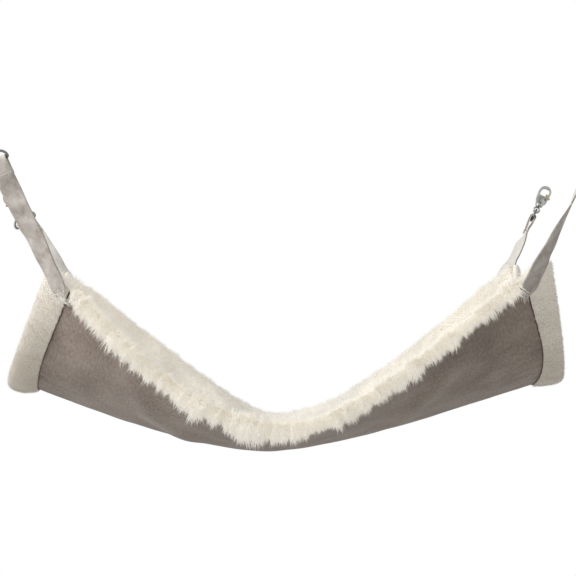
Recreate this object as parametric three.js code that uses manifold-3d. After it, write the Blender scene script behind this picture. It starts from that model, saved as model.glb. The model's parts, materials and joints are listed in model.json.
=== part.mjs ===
// Hanging cat bed: a two layer cloth hammock slung from four sewn straps, each ending in a D ring
// and a swivel snap clip. Millimetres, +X to the right along the bed, +Y to the back, +Z up.
// The origin is the middle of the four places where the clips hook on.

import * as THREE from 'three';
import { mergeVertices } from 'three/addons/utils/BufferGeometryUtils.js';
import Module from 'manifold-3d';

const wasm = await Module();
wasm.setup();

// The cloth as it is cut
const CLOTH_LENGTH = 575;
const CLOTH_WIDTH = 450;
const SHELL_THICKNESS = 1.6;
const LINING_THICKNESS = 8;
const HEM_WIDTH = 25;
const HEM_THICKNESS = 4;
const HEM_GAP = 0.5;
const PILE_REACH = 6;
const FRONT_PILE_DROP = 8;
const BACK_PILE_DROP = 2;
const PILE_START = 34;
const CLEARANCE = 0.3;

// How the cloth hangs: the drops belong to the outer face of the shell. A round share near zero
// gives an edge that hangs nearly as a V, and a share near one gives an even curve.
const CORNER_SPAN = 470;
const FRONT_SHIFT = 11;
const BACK_SHIFT = 1;
const FRONT_RISE = 5;
const RIGHT_RISE = 7;
const LEFT_END_DEPTH = 108;
const RIGHT_END_DEPTH = 114;
const BELLY_DEPTH = 23;
const LEFT_SPLAY = 42;
const RIGHT_SPLAY = 27;
const FRONT_ROUND_SHARES = { left: 0.7, right: 0.4 };
const BACK_ROUND_SHARES = { left: 0.15, right: 0.6 };
const DEPTH_ROUND_SHARE = 0.3;
const LOW_POINT_SHARE = 0.055;
const END_CURVE_POWER = 2.2;
const BELLY_CURVE_POWER = 2;

// The soft folds that run in from the corners, as shares of half the length and half the width
const FOLD_HEIGHT = 4;
const FOLD_WIDTH = 19;
const FOLD_SHARES = [
  { from: [0.66, -0.9], to: [0.3, -0.3] },
  { from: [-0.62, -0.85], to: [-0.36, -0.35] },
  { from: [0.7, 0.85], to: [0.4, 0.3] },
  { from: [-0.7, 0.85], to: [-0.4, 0.3] },
];

// Straps: two layers of cloth, folded over the bar of a D ring
const STRAP_WIDTH = 20;
const STRAP_LAYER = 0.8;
const FRONT_STRAP_LENGTH = 113;
const BACK_STRAP_LENGTH = 64;
const STRAP_FOLD = 14;
const LEFT_STRAP_INSET = 17;
const RIGHT_STRAP_INSET = 27;
const STRAP_SEWN = 20;
const STRAP_STAND_OFF = 15;
const STRAP_END_SHARE = 0.62;
const FRONT_SIDE_LEAN = THREE.MathUtils.degToRad(26);
const BACK_LEFT_LEAN = THREE.MathUtils.degToRad(36);
const BACK_RIGHT_LEAN = THREE.MathUtils.degToRad(27);
const FRONT_LEAN = THREE.MathUtils.degToRad(10);
const BACK_LEAN = THREE.MathUtils.degToRad(12);
const FRONT_LEFT_TWIST = THREE.MathUtils.degToRad(30);
const FRONT_RIGHT_TWIST = THREE.MathUtils.degToRad(50);
const BACK_TWIST = THREE.MathUtils.degToRad(-45);

// D ring of round wire
const RING_WIRE = 2.5;
const RING_SIDE_PLAY = 0.75;
const RING_HEIGHT = 10;
const RING_CORNER = 1.8;

// Swivel eye: a small loop round the D ring, with a headed stem
const EYE_WIRE = 1.9;
const EYE_HOLE = 4;
const STEM_DIAMETER = 2.2;
const STEM_HEAD_DIAMETER = 3.8;
const STEM_HEAD_HEIGHT = 1.3;

// Snap clip body, in its own plane
const CLIP_THICKNESS = 5;
const CLIP_EDGE = 0.5;
const COLLAR_DIAMETER = 6.8;
const COLLAR_HEIGHT = 2.6;
const COLLAR_GAP = 0.5;
const WINDOW_HEIGHT = 2;
const NECK_WIDTH = 8.6;
const BELLY_WIDTH = 12.2;
const BELLY_HEIGHT = 7.4;
const THROAT_LENGTH = 8.6;
const BOW_OUTER = 13;
const BOW_ARM = 2.2;
const SEAT_WIDTH = 3.2;
const TIP_LENGTH = 2.4;

// Gate, its pin and its spring
const GATE_THICKNESS = 2.2;
const GATE_WIDTH = 1.9;
const GATE_HUB = 4.4;
const GATE_REACH = 1.1;
const GATE_NUB = 1.7;
const PIN_DIAMETER = 1.6;
const PIN_INSET = 2.3;
const PIN_RISE = 4;
const SPRING_WIRE = 0.35;
const SPRING_DIAMETER = 1.5;
const SPRING_LENGTH = 4.2;
const SPRING_TURNS = 3.5;
const SPRING_RISE = 1.7;

// How finely curves are divided, and how far a cut runs past what it cuts
const CLOTH_ROWS = 22;
const CLOTH_COLUMNS = 14;
const CURVE_SAMPLES = 64;
const STRAP_STEPS = 6;
const FOLD_STEPS = 6;
const RING_STEPS = 30;
const WIRE_SIDES = 6;
const COIL_SIDES = 5;
const COIL_STEPS = 8;
const LOOP_STEPS = 16;
const COLLAR_SIDES = 16;
const TURNED_SIDES = 10;
const PLATE_STEPS = 4;
const GATE_STEPS = 6;
const OVERRUN = 1;
const PROBE = 1;

// Finishes
const finish = (color, roughness, metalness) => ({ color, roughness, metalness });
const SUEDE = finish(0x8d847a, 0.9, 0);
const FLEECE = finish(0xeeeade, 1, 0);
const STRAP_SUEDE = finish(0xb0aaa3, 0.9, 0);
const STRAP_BACKING = finish(0xddd9d0, 0.95, 0);
const STEEL = finish(0xb8bab8, 0.3, 1);
const DARK_STEEL = finish(0x77766f, 0.35, 1);
const BRASS = finish(0xa08a5c, 0.35, 1);

const half = (size) => size / 2;
const mix = THREE.MathUtils.lerp;
const smooth = THREE.MathUtils.smoothstep;

// A named mesh from a closed geometry
function piece(name, geometry, look) {
  const mesh = new THREE.Mesh(geometry, new THREE.MeshStandardMaterial(look));
  mesh.name = name;
  return mesh;
}

// A geometry without normals or texture places, with its shared corners merged
function bare(geometry) {
  const plain = geometry.index ? geometry.toNonIndexed() : geometry.clone();
  plain.deleteAttribute('normal');
  plain.deleteAttribute('uv');
  return mergeVertices(plain, CLEARANCE / 1000);
}

// Joining and cutting solids
function solid(geometry) {
  const plain = bare(geometry);
  const vertProperties = new Float32Array(plain.attributes.position.array);
  const triVerts = new Uint32Array(plain.index.array);
  return new wasm.Manifold(new wasm.Mesh({ numProp: 3, vertProperties, triVerts }));
}

function geometryOf(manifold) {
  const mesh = manifold.getMesh();
  const geometry = new THREE.BufferGeometry();
  geometry.setAttribute('position', new THREE.BufferAttribute(mesh.vertProperties, 3));
  geometry.setIndex(new THREE.BufferAttribute(mesh.triVerts, 1));
  return geometry;
}

function volumeOf(points, triangles) {
  let sum = 0;
  for (let k = 0; k < triangles.length; k += 3) {
    const [a, b, c] = [0, 1, 2].map((n) => points[triangles[k + n]]);
    sum += a.dot(b.clone().cross(c));
  }
  return sum;
}

// A closed skin through a row of rings with equally many points. The row either joins itself or has
// ends, each closed like a ladder between the first half of its ring and the second, which runs back.
// On the way back the diagonals lean over, so that the two faces of a cloth are divided alike.
function skin(rings, { joined = false, leaned = (n, count) => n >= half(count) } = {}) {
  const count = rings[0].length;
  const points = rings.flat();
  const triangles = [];
  for (let k = 0; k < (joined ? rings.length : rings.length - 1); k += 1) {
    const next = (k + 1) % rings.length;
    for (let n = 0; n < count; n += 1) {
      const m = (n + 1) % count;
      const [a, b, c, d] = [k * count + n, k * count + m, next * count + m, next * count + n];
      triangles.push(...(leaned(n, count) ? [a, b, d, b, c, d] : [a, b, c, a, c, d]));
    }
  }
  const lastRing = (rings.length - 1) * count;
  for (let n = 0; !joined && n < half(count) - 1; n += 1) {
    const [a, b, c, d] = [n, n + 1, count - 2 - n, count - 1 - n];
    triangles.push(a, c, b, a, d, c);
    triangles.push(...[a, b, c, a, c, d].map((corner) => corner + lastRing));
  }
  if (volumeOf(points, triangles) < 0) {
    triangles.reverse();
  }
  const geometry = new THREE.BufferGeometry().setFromPoints(points);
  geometry.setIndex(triangles);
  return geometry;
}

// Turns a distance from the middle of a curve, measured along it, into the curve's own value
function measuredAlong(curve) {
  const at = (n) => -1 + (2 * n) / CURVE_SAMPLES;
  const lengths = [0];
  for (let n = 1; n <= CURVE_SAMPLES; n += 1) {
    lengths.push(lengths[n - 1] + curve(at(n)).distanceTo(curve(at(n - 1))));
  }
  const middle = half(lengths[CURVE_SAMPLES]);
  return {
    length: lengths[CURVE_SAMPLES],
    at(distance) {
      const wanted = distance + middle;
      let n = 1;
      while (n < CURVE_SAMPLES && lengths[n] < wanted) {
        n += 1;
      }
      const share = (wanted - lengths[n - 1]) / (lengths[n] - lengths[n - 1]);
      return at(n - 1 + share);
    },
  };
}

// Finds the value between low and high at which a rising measure reaches a target
function solveFor(target, low, high, measure) {
  let [least, most] = [low, high];
  for (let n = 0; n < CURVE_SAMPLES; n += 1) {
    const middle = half(least + most);
    if (measure(middle) < target) {
      least = middle;
    } else {
      most = middle;
    }
  }
  return half(least + most);
}

// A rise from zero in the middle to one at either end, round at the bottom by a share
const roundRise = (s, share) => (Math.hypot(s, share) - share) / (Math.hypot(1, share) - share);

// The long edges hang between their corners, lowest a little left of the middle
const longEdge = (sag, shares) => (s) => {
  const fromLow = s + LOW_POINT_SHARE * (1 - s * s);
  const drop = sag * (1 - roundRise(fromLow, fromLow < 0 ? shares.left : shares.right));
  return new THREE.Vector2(s * half(CORNER_SPAN), RIGHT_RISE * half(1 + s) - drop);
};
const sagFor = (shares) =>
  solveFor(CLOTH_LENGTH, 0, CLOTH_LENGTH, (sag) => measuredAlong(longEdge(sag, shares)).length);
const frontEdge = longEdge(sagFor(FRONT_ROUND_SHARES), FRONT_ROUND_SHARES);
const backEdge = longEdge(sagFor(BACK_ROUND_SHARES), BACK_ROUND_SHARES);
const alongFront = measuredAlong(frontEdge);

// Across the bed the cloth hangs in a U, deep at the ends and shallow in the middle. Its width in
// space follows from the width of the cloth and the depth of the U.
const sections = new Map();

function sectionAt(s) {
  if (!sections.has(s)) {
    const middleShare = 1 - roundRise(s, DEPTH_ROUND_SHARE);
    const depth = mix(s < 0 ? LEFT_END_DEPTH : RIGHT_END_DEPTH, BELLY_DEPTH, middleShare);
    const splay = (s < 0 ? LEFT_SPLAY : RIGHT_SPLAY) * s * s;
    const power = mix(END_CURVE_POWER, BELLY_CURVE_POWER, middleShare);
    const low = (t) => 1 - Math.abs(t) ** power;
    const reach = Math.hypot(depth, splay);
    const line = (width) => (t) => new THREE.Vector2(t * half(width), -reach * low(t));
    const width = solveFor(CLOTH_WIDTH, 0, CLOTH_WIDTH, (w) => measuredAlong(line(w)).length);
    sections.set(s, { depth, splay, low, width, across: measuredAlong(line(width)) });
  }
  return sections.get(s);
}

function foldAt(along, across) {
  const spot = new THREE.Vector2(along, across);
  let height = 0;
  for (const { from, to } of FOLD_SHARES) {
    const [start, end] = [from, to].map(([x, y]) =>
      new THREE.Vector2(x * half(CLOTH_LENGTH), y * half(CLOTH_WIDTH)));
    const run = end.clone().sub(start);
    const share = THREE.MathUtils.clamp(spot.clone().sub(start).dot(run) / run.lengthSq(), 0, 1);
    const away = spot.distanceTo(start.addScaledVector(run, share)) / FOLD_WIDTH;
    height += FOLD_HEIGHT * Math.exp(-away * away);
  }
  return height;
}

// The outer face of the shell, by the distance from the cloth's middle along and across it
function outerFace(along, across) {
  const s = alongFront.at(along);
  const section = sectionAt(s);
  const t = section.across.at(across);
  const backShare = half(1 + t);
  const low = section.low(t);
  const x = mix(FRONT_SHIFT, BACK_SHIFT, backShare) + s * half(CORNER_SPAN)
    + Math.sign(s) * section.splay * low;
  const edge = mix(FRONT_RISE + frontEdge(s).y, backEdge(s).y, backShare);
  const fold = foldAt(along, across);
  return new THREE.Vector3(x, t * half(section.width), edge - section.depth * low - fold);
}

// The direction out of the cloth on its fleece side, and a place at some height over the outer face
function inwardAt(along, across) {
  const lengthwise = outerFace(along + PROBE, across).sub(outerFace(along - PROBE, across));
  const sideways = outerFace(along, across + PROBE).sub(outerFace(along, across - PROBE));
  return lengthwise.cross(sideways).normalize();
}

function onCloth(along, across, height) {
  return outerFace(along, across).addScaledVector(inwardAt(along, across), height);
}

// Rows along the bed and columns across it, which all the cloth pieces share
function evenSteps(from, to, count) {
  return Array.from({ length: count + 1 }, (_, n) => mix(from, to, n / count));
}

const HEM_SEAM = half(CLOTH_LENGTH) - HEM_WIDTH;
const STRAP_SEAM = half(CLOTH_WIDTH) - STRAP_WIDTH;
const rows = [-half(CLOTH_LENGTH), ...evenSteps(-HEM_SEAM, HEM_SEAM, CLOTH_ROWS), half(CLOTH_LENGTH)];
const columns = [
  -half(CLOTH_WIDTH), ...evenSteps(-STRAP_SEAM, STRAP_SEAM, CLOTH_COLUMNS), half(CLOTH_WIDTH),
];

// Heights over the outer face of the shell
const LINING_BASE = SHELL_THICKNESS + CLEARANCE;
const LINING_TOP = LINING_BASE + LINING_THICKNESS;
const HEM_FACE = -CLEARANCE - HEM_THICKNESS;
const STRAP_THICKNESS = 2 * STRAP_LAYER + CLEARANCE;
const STRAP_MIDDLE = HEM_FACE - CLEARANCE - half(STRAP_THICKNESS);

function clothSkin(outlineAt, stations, place, options) {
  return skin(stations.map((station) => outlineAt(station).map((p) => place(station, p))), options);
}

const flat = (list) => list.map(([x, y]) => new THREE.Vector2(x, y));

function outerShell() {
  const outline = () => flat([
    ...columns.map((across) => [across, 0]),
    ...columns.toReversed().map((across) => [across, SHELL_THICKNESS]),
  ]);
  return clothSkin(outline, rows, (along, p) => onCloth(along, p.x, p.y));
}

// Between the straps the fleece reaches past the shell's long edges and its pile hangs over them.
// Both lists run from the pile's outermost line to the cloth, one below it and one over it.
function pileUnder(side, share, fullDrop) {
  const inner = half(CLOTH_WIDTH) + CLEARANCE;
  const outer = inner + mix(STRAP_LAYER, PILE_REACH, share);
  const drop = share * fullDrop;
  const tip = half(SHELL_THICKNESS) - drop;
  return [
    [outer, half(tip + LINING_BASE)],
    [mix(inner, outer, 0.75), tip],
    [inner, tip],
    [inner, LINING_BASE],
  ].map(([across, height]) => [side * across, height]);
}

function pileOver(side, share) {
  const inner = half(CLOTH_WIDTH) + CLEARANCE;
  const outer = inner + mix(STRAP_LAYER, PILE_REACH, share);
  return [
    [outer, half(LINING_BASE + LINING_TOP)],
    [mix(inner, outer, 0.65), mix(LINING_BASE, LINING_TOP, 0.95)],
    [mix(inner, outer, 0.4), LINING_TOP],
    [mix(inner, outer, 0.15), LINING_TOP],
  ].map(([across, height]) => [side * across, height]);
}

function fleeceLining() {
  const outlineAt = (along) => {
    const share = 1 - smooth(Math.abs(along), HEM_SEAM - PILE_START, HEM_SEAM);
    return flat([
      ...pileUnder(-1, share, FRONT_PILE_DROP),
      ...columns.map((across) => [across, LINING_BASE]),
      ...pileUnder(1, share, BACK_PILE_DROP).reverse(),
      ...pileOver(1, share),
      ...columns.toReversed().map((across) => [across, LINING_TOP]),
      ...pileOver(-1, share).reverse(),
    ]);
  };
  return clothSkin(outlineAt, rows, (along, p) => onCloth(along, p.x, p.y));
}

// At each end the fleece is turned over the cut edge and sewn down as a band on the outside
const HEM_INNER = half(CLOTH_LENGTH) + HEM_GAP;
const HEM_OUTER = HEM_INNER + HEM_THICKNESS;
const HEM_TURN = mix(HEM_INNER, HEM_OUTER, 0.4);

function endHem(side) {
  const outline = () => flat([
    [HEM_SEAM, -CLEARANCE],
    [HEM_INNER, -CLEARANCE],
    [HEM_INNER, LINING_TOP],
    [mix(HEM_INNER, HEM_OUTER, 0.6), LINING_TOP],
    [HEM_OUTER, mix(LINING_TOP, HEM_FACE, 0.2)],
    [HEM_OUTER, mix(LINING_TOP, HEM_FACE, 0.8)],
    [HEM_TURN, HEM_FACE],
    [HEM_SEAM, HEM_FACE],
  ]);
  const place = (across, p) => onCloth(side * p.x, across, p.y);
  return clothSkin(outline, columns, place, { leaned: (n) => side < 0 && n !== 1 });
}

// A strap leaves a short way in from the tip of its corner: y points away from the bed there, and z
// runs along the strap
function strapFrame(corner) {
  const tip = new THREE.Vector2(
    corner.side * (HEM_OUTER - corner.inset), corner.depth * half(CLOTH_WIDTH));
  const z = new THREE.Vector3(
    corner.side * Math.tan(corner.sideLean), corner.depth * Math.tan(corner.lean), 1).normalize();
  const y = inwardAt(tip.x, tip.y).negate();
  y.addScaledVector(z, -y.dot(z)).normalize();
  const x = y.clone().cross(z);
  const hinge = onCloth(tip.x, tip.y, STRAP_MIDDLE).addScaledVector(z, STRAP_STAND_OFF);
  const origin = hinge.clone().addScaledVector(y, -half(CLEARANCE + STRAP_THICKNESS));
  const matrix = new THREE.Matrix4().makeBasis(x, y, z).setPosition(origin);
  return { tip, hinge, x, y, z, matrix };
}

// The place on the cloth that lies below a corner's tip, by the distance down the strap's line
function belowTip({ tip, z }, distance) {
  const lengthwise = outerFace(tip.x + PROBE, tip.y).sub(outerFace(tip.x, tip.y));
  const sideways = outerFace(tip.x, tip.y + PROBE).sub(outerFace(tip.x, tip.y));
  const run = new THREE.Vector2(z.dot(lengthwise), z.dot(sideways)).normalize();
  return tip.clone().addScaledVector(run, -distance);
}

// The sewn end of a strap lies flat on the outside of its corner, over the hem
function strapEnd(frame) {
  const ring = (middle, x, y, width) =>
    [[1, 1], [-1, 1], [-1, -1], [1, -1]].map(([u, v]) => middle.clone()
      .addScaledVector(x, u * half(width)).addScaledVector(y, v * half(STRAP_THICKNESS)));
  const sewnRing = (distance, width) => {
    const place = belowTip(frame, distance);
    const y = inwardAt(place.x, place.y).negate();
    const x = frame.x.clone().addScaledVector(y, -frame.x.dot(y)).normalize();
    return ring(onCloth(place.x, place.y, STRAP_MIDDLE), x, y, width);
  };
  const top = frame.hinge.clone().addScaledVector(frame.z, -half(STRAP_THICKNESS) - CLEARANCE);
  return skin([
    ring(top, frame.x, frame.y, STRAP_WIDTH),
    sewnRing(half(STRAP_SEWN), STRAP_WIDTH),
    sewnRing(STRAP_SEWN, STRAP_WIDTH * STRAP_END_SHARE),
  ]);
}

// The line that a strap follows in its own plane: up, round the bar of the ring, and back down
// to the cross seam, on one side of the middle and then on the other
function strapLine(length, inset) {
  const barHole = half(RING_WIRE) + CLEARANCE;
  const offset = half(CLEARANCE) + inset;
  const radius = barHole + inset;
  const tilt = Math.asin((barHole - half(CLEARANCE)) / STRAP_FOLD);
  const rise = evenSteps(0, length - STRAP_FOLD, STRAP_STEPS).map((z) => [offset, z]);
  const turn = evenSteps(-tilt, Math.PI + tilt, FOLD_STEPS).map((angle) =>
    [radius * Math.cos(angle), length + radius * Math.sin(angle)]);
  return [...rise, ...turn, [-offset, length - STRAP_FOLD]];
}

// One layer of a strap. It keeps its width across its own line, and turns by a twist on its way up.
function strapLayer(length, twist, inset) {
  const inner = strapLine(length, inset);
  const outer = strapLine(length, inset + STRAP_LAYER);
  const rings = inner.map((_, n) => {
    const ring = [];
    for (const [line, u] of [[outer, 1], [outer, -1], [inner, -1], [inner, 1]]) {
      const [y, height] = line[n];
      const fromMiddle = y - half(CLEARANCE) - half(STRAP_THICKNESS);
      const round = Math.sqrt(Math.max(0, half(STRAP_THICKNESS) ** 2 - fromMiddle ** 2));
      const z = n === 0 ? -round : height;
      const turn = twist * smooth(z, 0, length - STRAP_FOLD);
      const place = new THREE.Vector3(u * half(STRAP_WIDTH), y, z);
      ring.push(place.applyAxisAngle(new THREE.Vector3(0, 0, 1), turn));
    }
    return ring;
  });
  return skin(rings);
}

// The D ring stands on its bar, which is at the origin along x
function dRing() {
  const side = half(STRAP_WIDTH) + RING_SIDE_PLAY + half(RING_WIRE);
  const line = new THREE.Path();
  line.moveTo(RING_CORNER - side, 0);
  line.lineTo(side - RING_CORNER, 0);
  line.absarc(side - RING_CORNER, RING_CORNER, RING_CORNER, -Math.PI / 2, 0, false);
  line.absellipse(0, RING_CORNER, side, RING_HEIGHT - RING_CORNER, 0, Math.PI, false, 0);
  line.absarc(RING_CORNER - side, RING_CORNER, RING_CORNER, Math.PI, Math.PI * 1.5, false);
  const rings = evenSteps(0, 1, RING_STEPS).slice(0, RING_STEPS).map((share) => {
    const point = line.getPointAt(share);
    const tangent = line.getTangentAt(share);
    return evenSteps(0, 2 * Math.PI, WIRE_SIDES).slice(0, WIRE_SIDES).map((angle) => {
      const out = half(RING_WIRE) * Math.cos(angle);
      return new THREE.Vector3(
        point.x + tangent.y * out, half(RING_WIRE) * Math.sin(angle), point.y - tangent.x * out);
    });
  });
  return skin(rings, { joined: true });
}

// Heights in the clip, over the middle of the eye's hole
const EYE_LOOP = half(EYE_HOLE + EYE_WIRE);
const COLLAR_BASE = EYE_LOOP + half(EYE_WIRE) + COLLAR_GAP;
const WINDOW_BASE = COLLAR_BASE + COLLAR_HEIGHT;
const BELLY_BASE = WINDOW_BASE + WINDOW_HEIGHT;
const BELLY_TOP = BELLY_BASE + BELLY_HEIGHT;
const BOW_RADIUS = half(BOW_OUTER);
const BOW_INNER = BOW_RADIUS - BOW_ARM;
const SEAT_RISE = Math.sqrt(BOW_INNER ** 2 - half(SEAT_WIDTH) ** 2);
const SEAT_HEIGHT = BELLY_TOP + THROAT_LENGTH;
const BOW_MIDDLE = SEAT_HEIGHT - SEAT_RISE;
const TIP_BASE = BOW_MIDDLE - TIP_LENGTH;
const PIN_X = half(BELLY_WIDTH) - PIN_INSET;
const PIN_HEIGHT = BELLY_BASE + PIN_RISE;
const SLOT_WIDTH = GATE_THICKNESS + 2 * CLEARANCE;

function cylinder(diameter, height, sides) {
  return new THREE.CylinderGeometry(half(diameter), half(diameter), height, sides);
}

// The eye is a loop in the plane across the ring's bow, with a stem whose head sits in the clip
function swivelEye() {
  const loop = new THREE.TorusGeometry(EYE_LOOP, half(EYE_WIRE), WIRE_SIDES, LOOP_STEPS)
    .rotateY(Math.PI / 2);
  const headBase = WINDOW_BASE + CLEARANCE;
  const stem = new THREE.LatheGeometry(flat([
    [0, EYE_LOOP],
    [half(STEM_DIAMETER), EYE_LOOP],
    [half(STEM_DIAMETER), headBase],
    [half(STEM_HEAD_DIAMETER), headBase],
    [half(STEM_HEAD_DIAMETER), headBase + half(STEM_HEAD_HEIGHT)],
    [half(STEM_DIAMETER), headBase + STEM_HEAD_HEIGHT],
    [0, headBase + STEM_HEAD_HEIGHT],
  ]), TURNED_SIDES).rotateX(Math.PI / 2);
  return geometryOf(solid(loop).add(solid(stem)));
}

// The clip's outline: collar, neck, belly, the back arm, the bow with its flat seat, and the tip
function clipOutline() {
  const [neck, belly] = [half(NECK_WIDTH), half(BELLY_WIDTH)];
  const seatAngle = Math.acos(half(SEAT_WIDTH) / BOW_INNER);
  const shape = new THREE.Shape();
  shape.moveTo(half(COLLAR_DIAMETER), COLLAR_BASE);
  shape.lineTo(neck, WINDOW_BASE);
  shape.lineTo(neck, mix(WINDOW_BASE, BELLY_BASE, 0.6));
  shape.quadraticCurveTo(belly, BELLY_BASE, belly, mix(BELLY_BASE, BELLY_TOP, 0.5));
  shape.quadraticCurveTo(belly, BELLY_TOP, mix(0, belly, 0.55), BELLY_TOP);
  shape.lineTo(mix(0, -BOW_INNER, 0.7), BELLY_TOP);
  shape.lineTo(-BOW_INNER, mix(BELLY_TOP, BOW_MIDDLE, 0.2));
  shape.lineTo(-BOW_INNER, BOW_MIDDLE);
  shape.absarc(0, BOW_MIDDLE, BOW_INNER, Math.PI, Math.PI - seatAngle, true);
  shape.absarc(0, BOW_MIDDLE, BOW_INNER, seatAngle, 0, true);
  shape.lineTo(BOW_INNER, TIP_BASE);
  shape.lineTo(mix(BOW_INNER, BOW_RADIUS, 0.7), TIP_BASE - half(CLIP_EDGE));
  shape.lineTo(BOW_RADIUS, BOW_MIDDLE);
  shape.absarc(0, BOW_MIDDLE, BOW_RADIUS, 0, Math.PI, false);
  shape.lineTo(-BOW_RADIUS, BELLY_TOP);
  shape.quadraticCurveTo(-belly, BELLY_BASE, -neck, mix(WINDOW_BASE, BELLY_BASE, 0.6));
  shape.lineTo(-neck, WINDOW_BASE);
  shape.lineTo(-half(COLLAR_DIAMETER), COLLAR_BASE);
  return shape;
}

// A plate of the given outline, standing in the x z plane with its middle at y zero
function standingPlate(shape, thickness, edge, curveSegments) {
  const geometry = new THREE.ExtrudeGeometry(shape, {
    depth: thickness - 2 * edge,
    bevelEnabled: edge > 0,
    bevelThickness: edge,
    bevelSize: edge,
    bevelOffset: -edge,
    bevelSegments: 1,
    curveSegments,
  });
  return geometry.translate(0, 0, edge - half(thickness)).rotateX(Math.PI / 2);
}

function block(x, z, thickness) {
  const geometry = new THREE.BoxGeometry(x[1] - x[0], thickness, z[1] - z[0]);
  return solid(geometry.translate(half(x[0] + x[1]), 0, half(z[0] + z[1])));
}

function clipBody() {
  const through = CLIP_THICKNESS + 2 * OVERRUN;
  const windowSide = half(STEM_HEAD_DIAMETER) + CLEARANCE;
  const slotBack = PIN_X - half(GATE_HUB) - GATE_REACH * 2;
  const springLow = PIN_HEIGHT + SPRING_RISE - half(SPRING_DIAMETER + SPRING_WIRE) - CLEARANCE;
  const springHigh = PIN_HEIGHT + SPRING_RISE + half(SPRING_DIAMETER + SPRING_WIRE) + CLEARANCE;
  const collar = cylinder(COLLAR_DIAMETER, COLLAR_HEIGHT, COLLAR_SIDES).rotateX(Math.PI / 2)
    .translate(0, 0, COLLAR_BASE + half(COLLAR_HEIGHT));
  const bore = cylinder(STEM_DIAMETER + 2 * CLEARANCE, COLLAR_HEIGHT + 2 * OVERRUN, TURNED_SIDES)
    .rotateX(Math.PI / 2).translate(0, 0, COLLAR_BASE + half(COLLAR_HEIGHT));
  const pinHole = cylinder(PIN_DIAMETER + 2 * CLEARANCE, through, TURNED_SIDES)
    .translate(PIN_X, 0, PIN_HEIGHT);
  const bodyPlate = standingPlate(clipOutline(), CLIP_THICKNESS, CLIP_EDGE, PLATE_STEPS);
  return geometryOf(solid(bodyPlate)
    .add(solid(collar))
    .subtract(solid(bore))
    .subtract(block([-windowSide, windowSide], [WINDOW_BASE, BELLY_BASE], through))
    .subtract(block(
      [slotBack, BELLY_WIDTH],
      [PIN_HEIGHT - half(GATE_HUB) - CLEARANCE, BELLY_TOP + OVERRUN],
      SLOT_WIDTH))
    .subtract(block([springBack() - CLEARANCE, slotBack + OVERRUN], [springLow, springHigh], SLOT_WIDTH))
    .subtract(solid(pinHole)));
}

const gateFace = () => PIN_X - half(GATE_HUB) + CLEARANCE;
const springBack = () => gateFace() - CLEARANCE - SPRING_LENGTH;

// The gate turns on its pin, closes behind the tip of the hook and has a nub for the thumb
function clipGate() {
  const behindTip = BOW_INNER - CLEARANCE;
  const underTip = TIP_BASE - CLIP_EDGE - CLEARANCE;
  const front = BOW_RADIUS - CLIP_EDGE;
  const hub = half(GATE_HUB);
  const nubLow = BELLY_TOP - GATE_NUB;
  const shape = new THREE.Shape();
  shape.moveTo(PIN_X + hub, PIN_HEIGHT);
  shape.lineTo(front, nubLow);
  shape.lineTo(front + GATE_NUB, nubLow + half(GATE_NUB));
  shape.lineTo(front + GATE_NUB, nubLow + GATE_NUB);
  shape.lineTo(front, nubLow + 2 * GATE_NUB);
  shape.lineTo(front, underTip);
  shape.lineTo(behindTip, underTip);
  shape.lineTo(behindTip, TIP_BASE + GATE_REACH);
  shape.lineTo(behindTip - GATE_WIDTH, TIP_BASE + GATE_REACH);
  shape.lineTo(gateFace(), PIN_HEIGHT + hub);
  shape.lineTo(PIN_X - hub, PIN_HEIGHT);
  shape.absarc(PIN_X, PIN_HEIGHT, hub, Math.PI, 2 * Math.PI, false);
  const hole = cylinder(PIN_DIAMETER + 2 * CLEARANCE, CLIP_THICKNESS, TURNED_SIDES)
    .translate(PIN_X, 0, PIN_HEIGHT);
  return geometryOf(solid(standingPlate(shape, GATE_THICKNESS, 0, GATE_STEPS)).subtract(solid(hole)));
}

function gatePin() {
  return cylinder(PIN_DIAMETER, CLIP_THICKNESS, TURNED_SIDES).translate(PIN_X, 0, PIN_HEIGHT);
}

// A small coil between the back of the belly's pocket and the gate, which pushes the gate shut
function gateSpring() {
  class Coil extends THREE.Curve {
    getPoint(share, target = new THREE.Vector3()) {
      const angle = share * SPRING_TURNS * 2 * Math.PI;
      const radius = half(SPRING_DIAMETER);
      return target.set(
        springBack() + half(SPRING_WIRE) + share * (SPRING_LENGTH - SPRING_WIRE),
        radius * Math.cos(angle),
        PIN_HEIGHT + SPRING_RISE + radius * Math.sin(angle));
    }
  }
  const wire = new THREE.Shape(evenSteps(0, 2 * Math.PI, COIL_SIDES).slice(0, COIL_SIDES).map((angle) =>
    new THREE.Vector2(half(SPRING_WIRE) * Math.cos(angle), half(SPRING_WIRE) * Math.sin(angle))));
  const steps = Math.round(SPRING_TURNS * COIL_STEPS);
  return new THREE.ExtrudeGeometry(wire, { steps, extrudePath: new Coil(), bevelEnabled: false });
}

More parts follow.
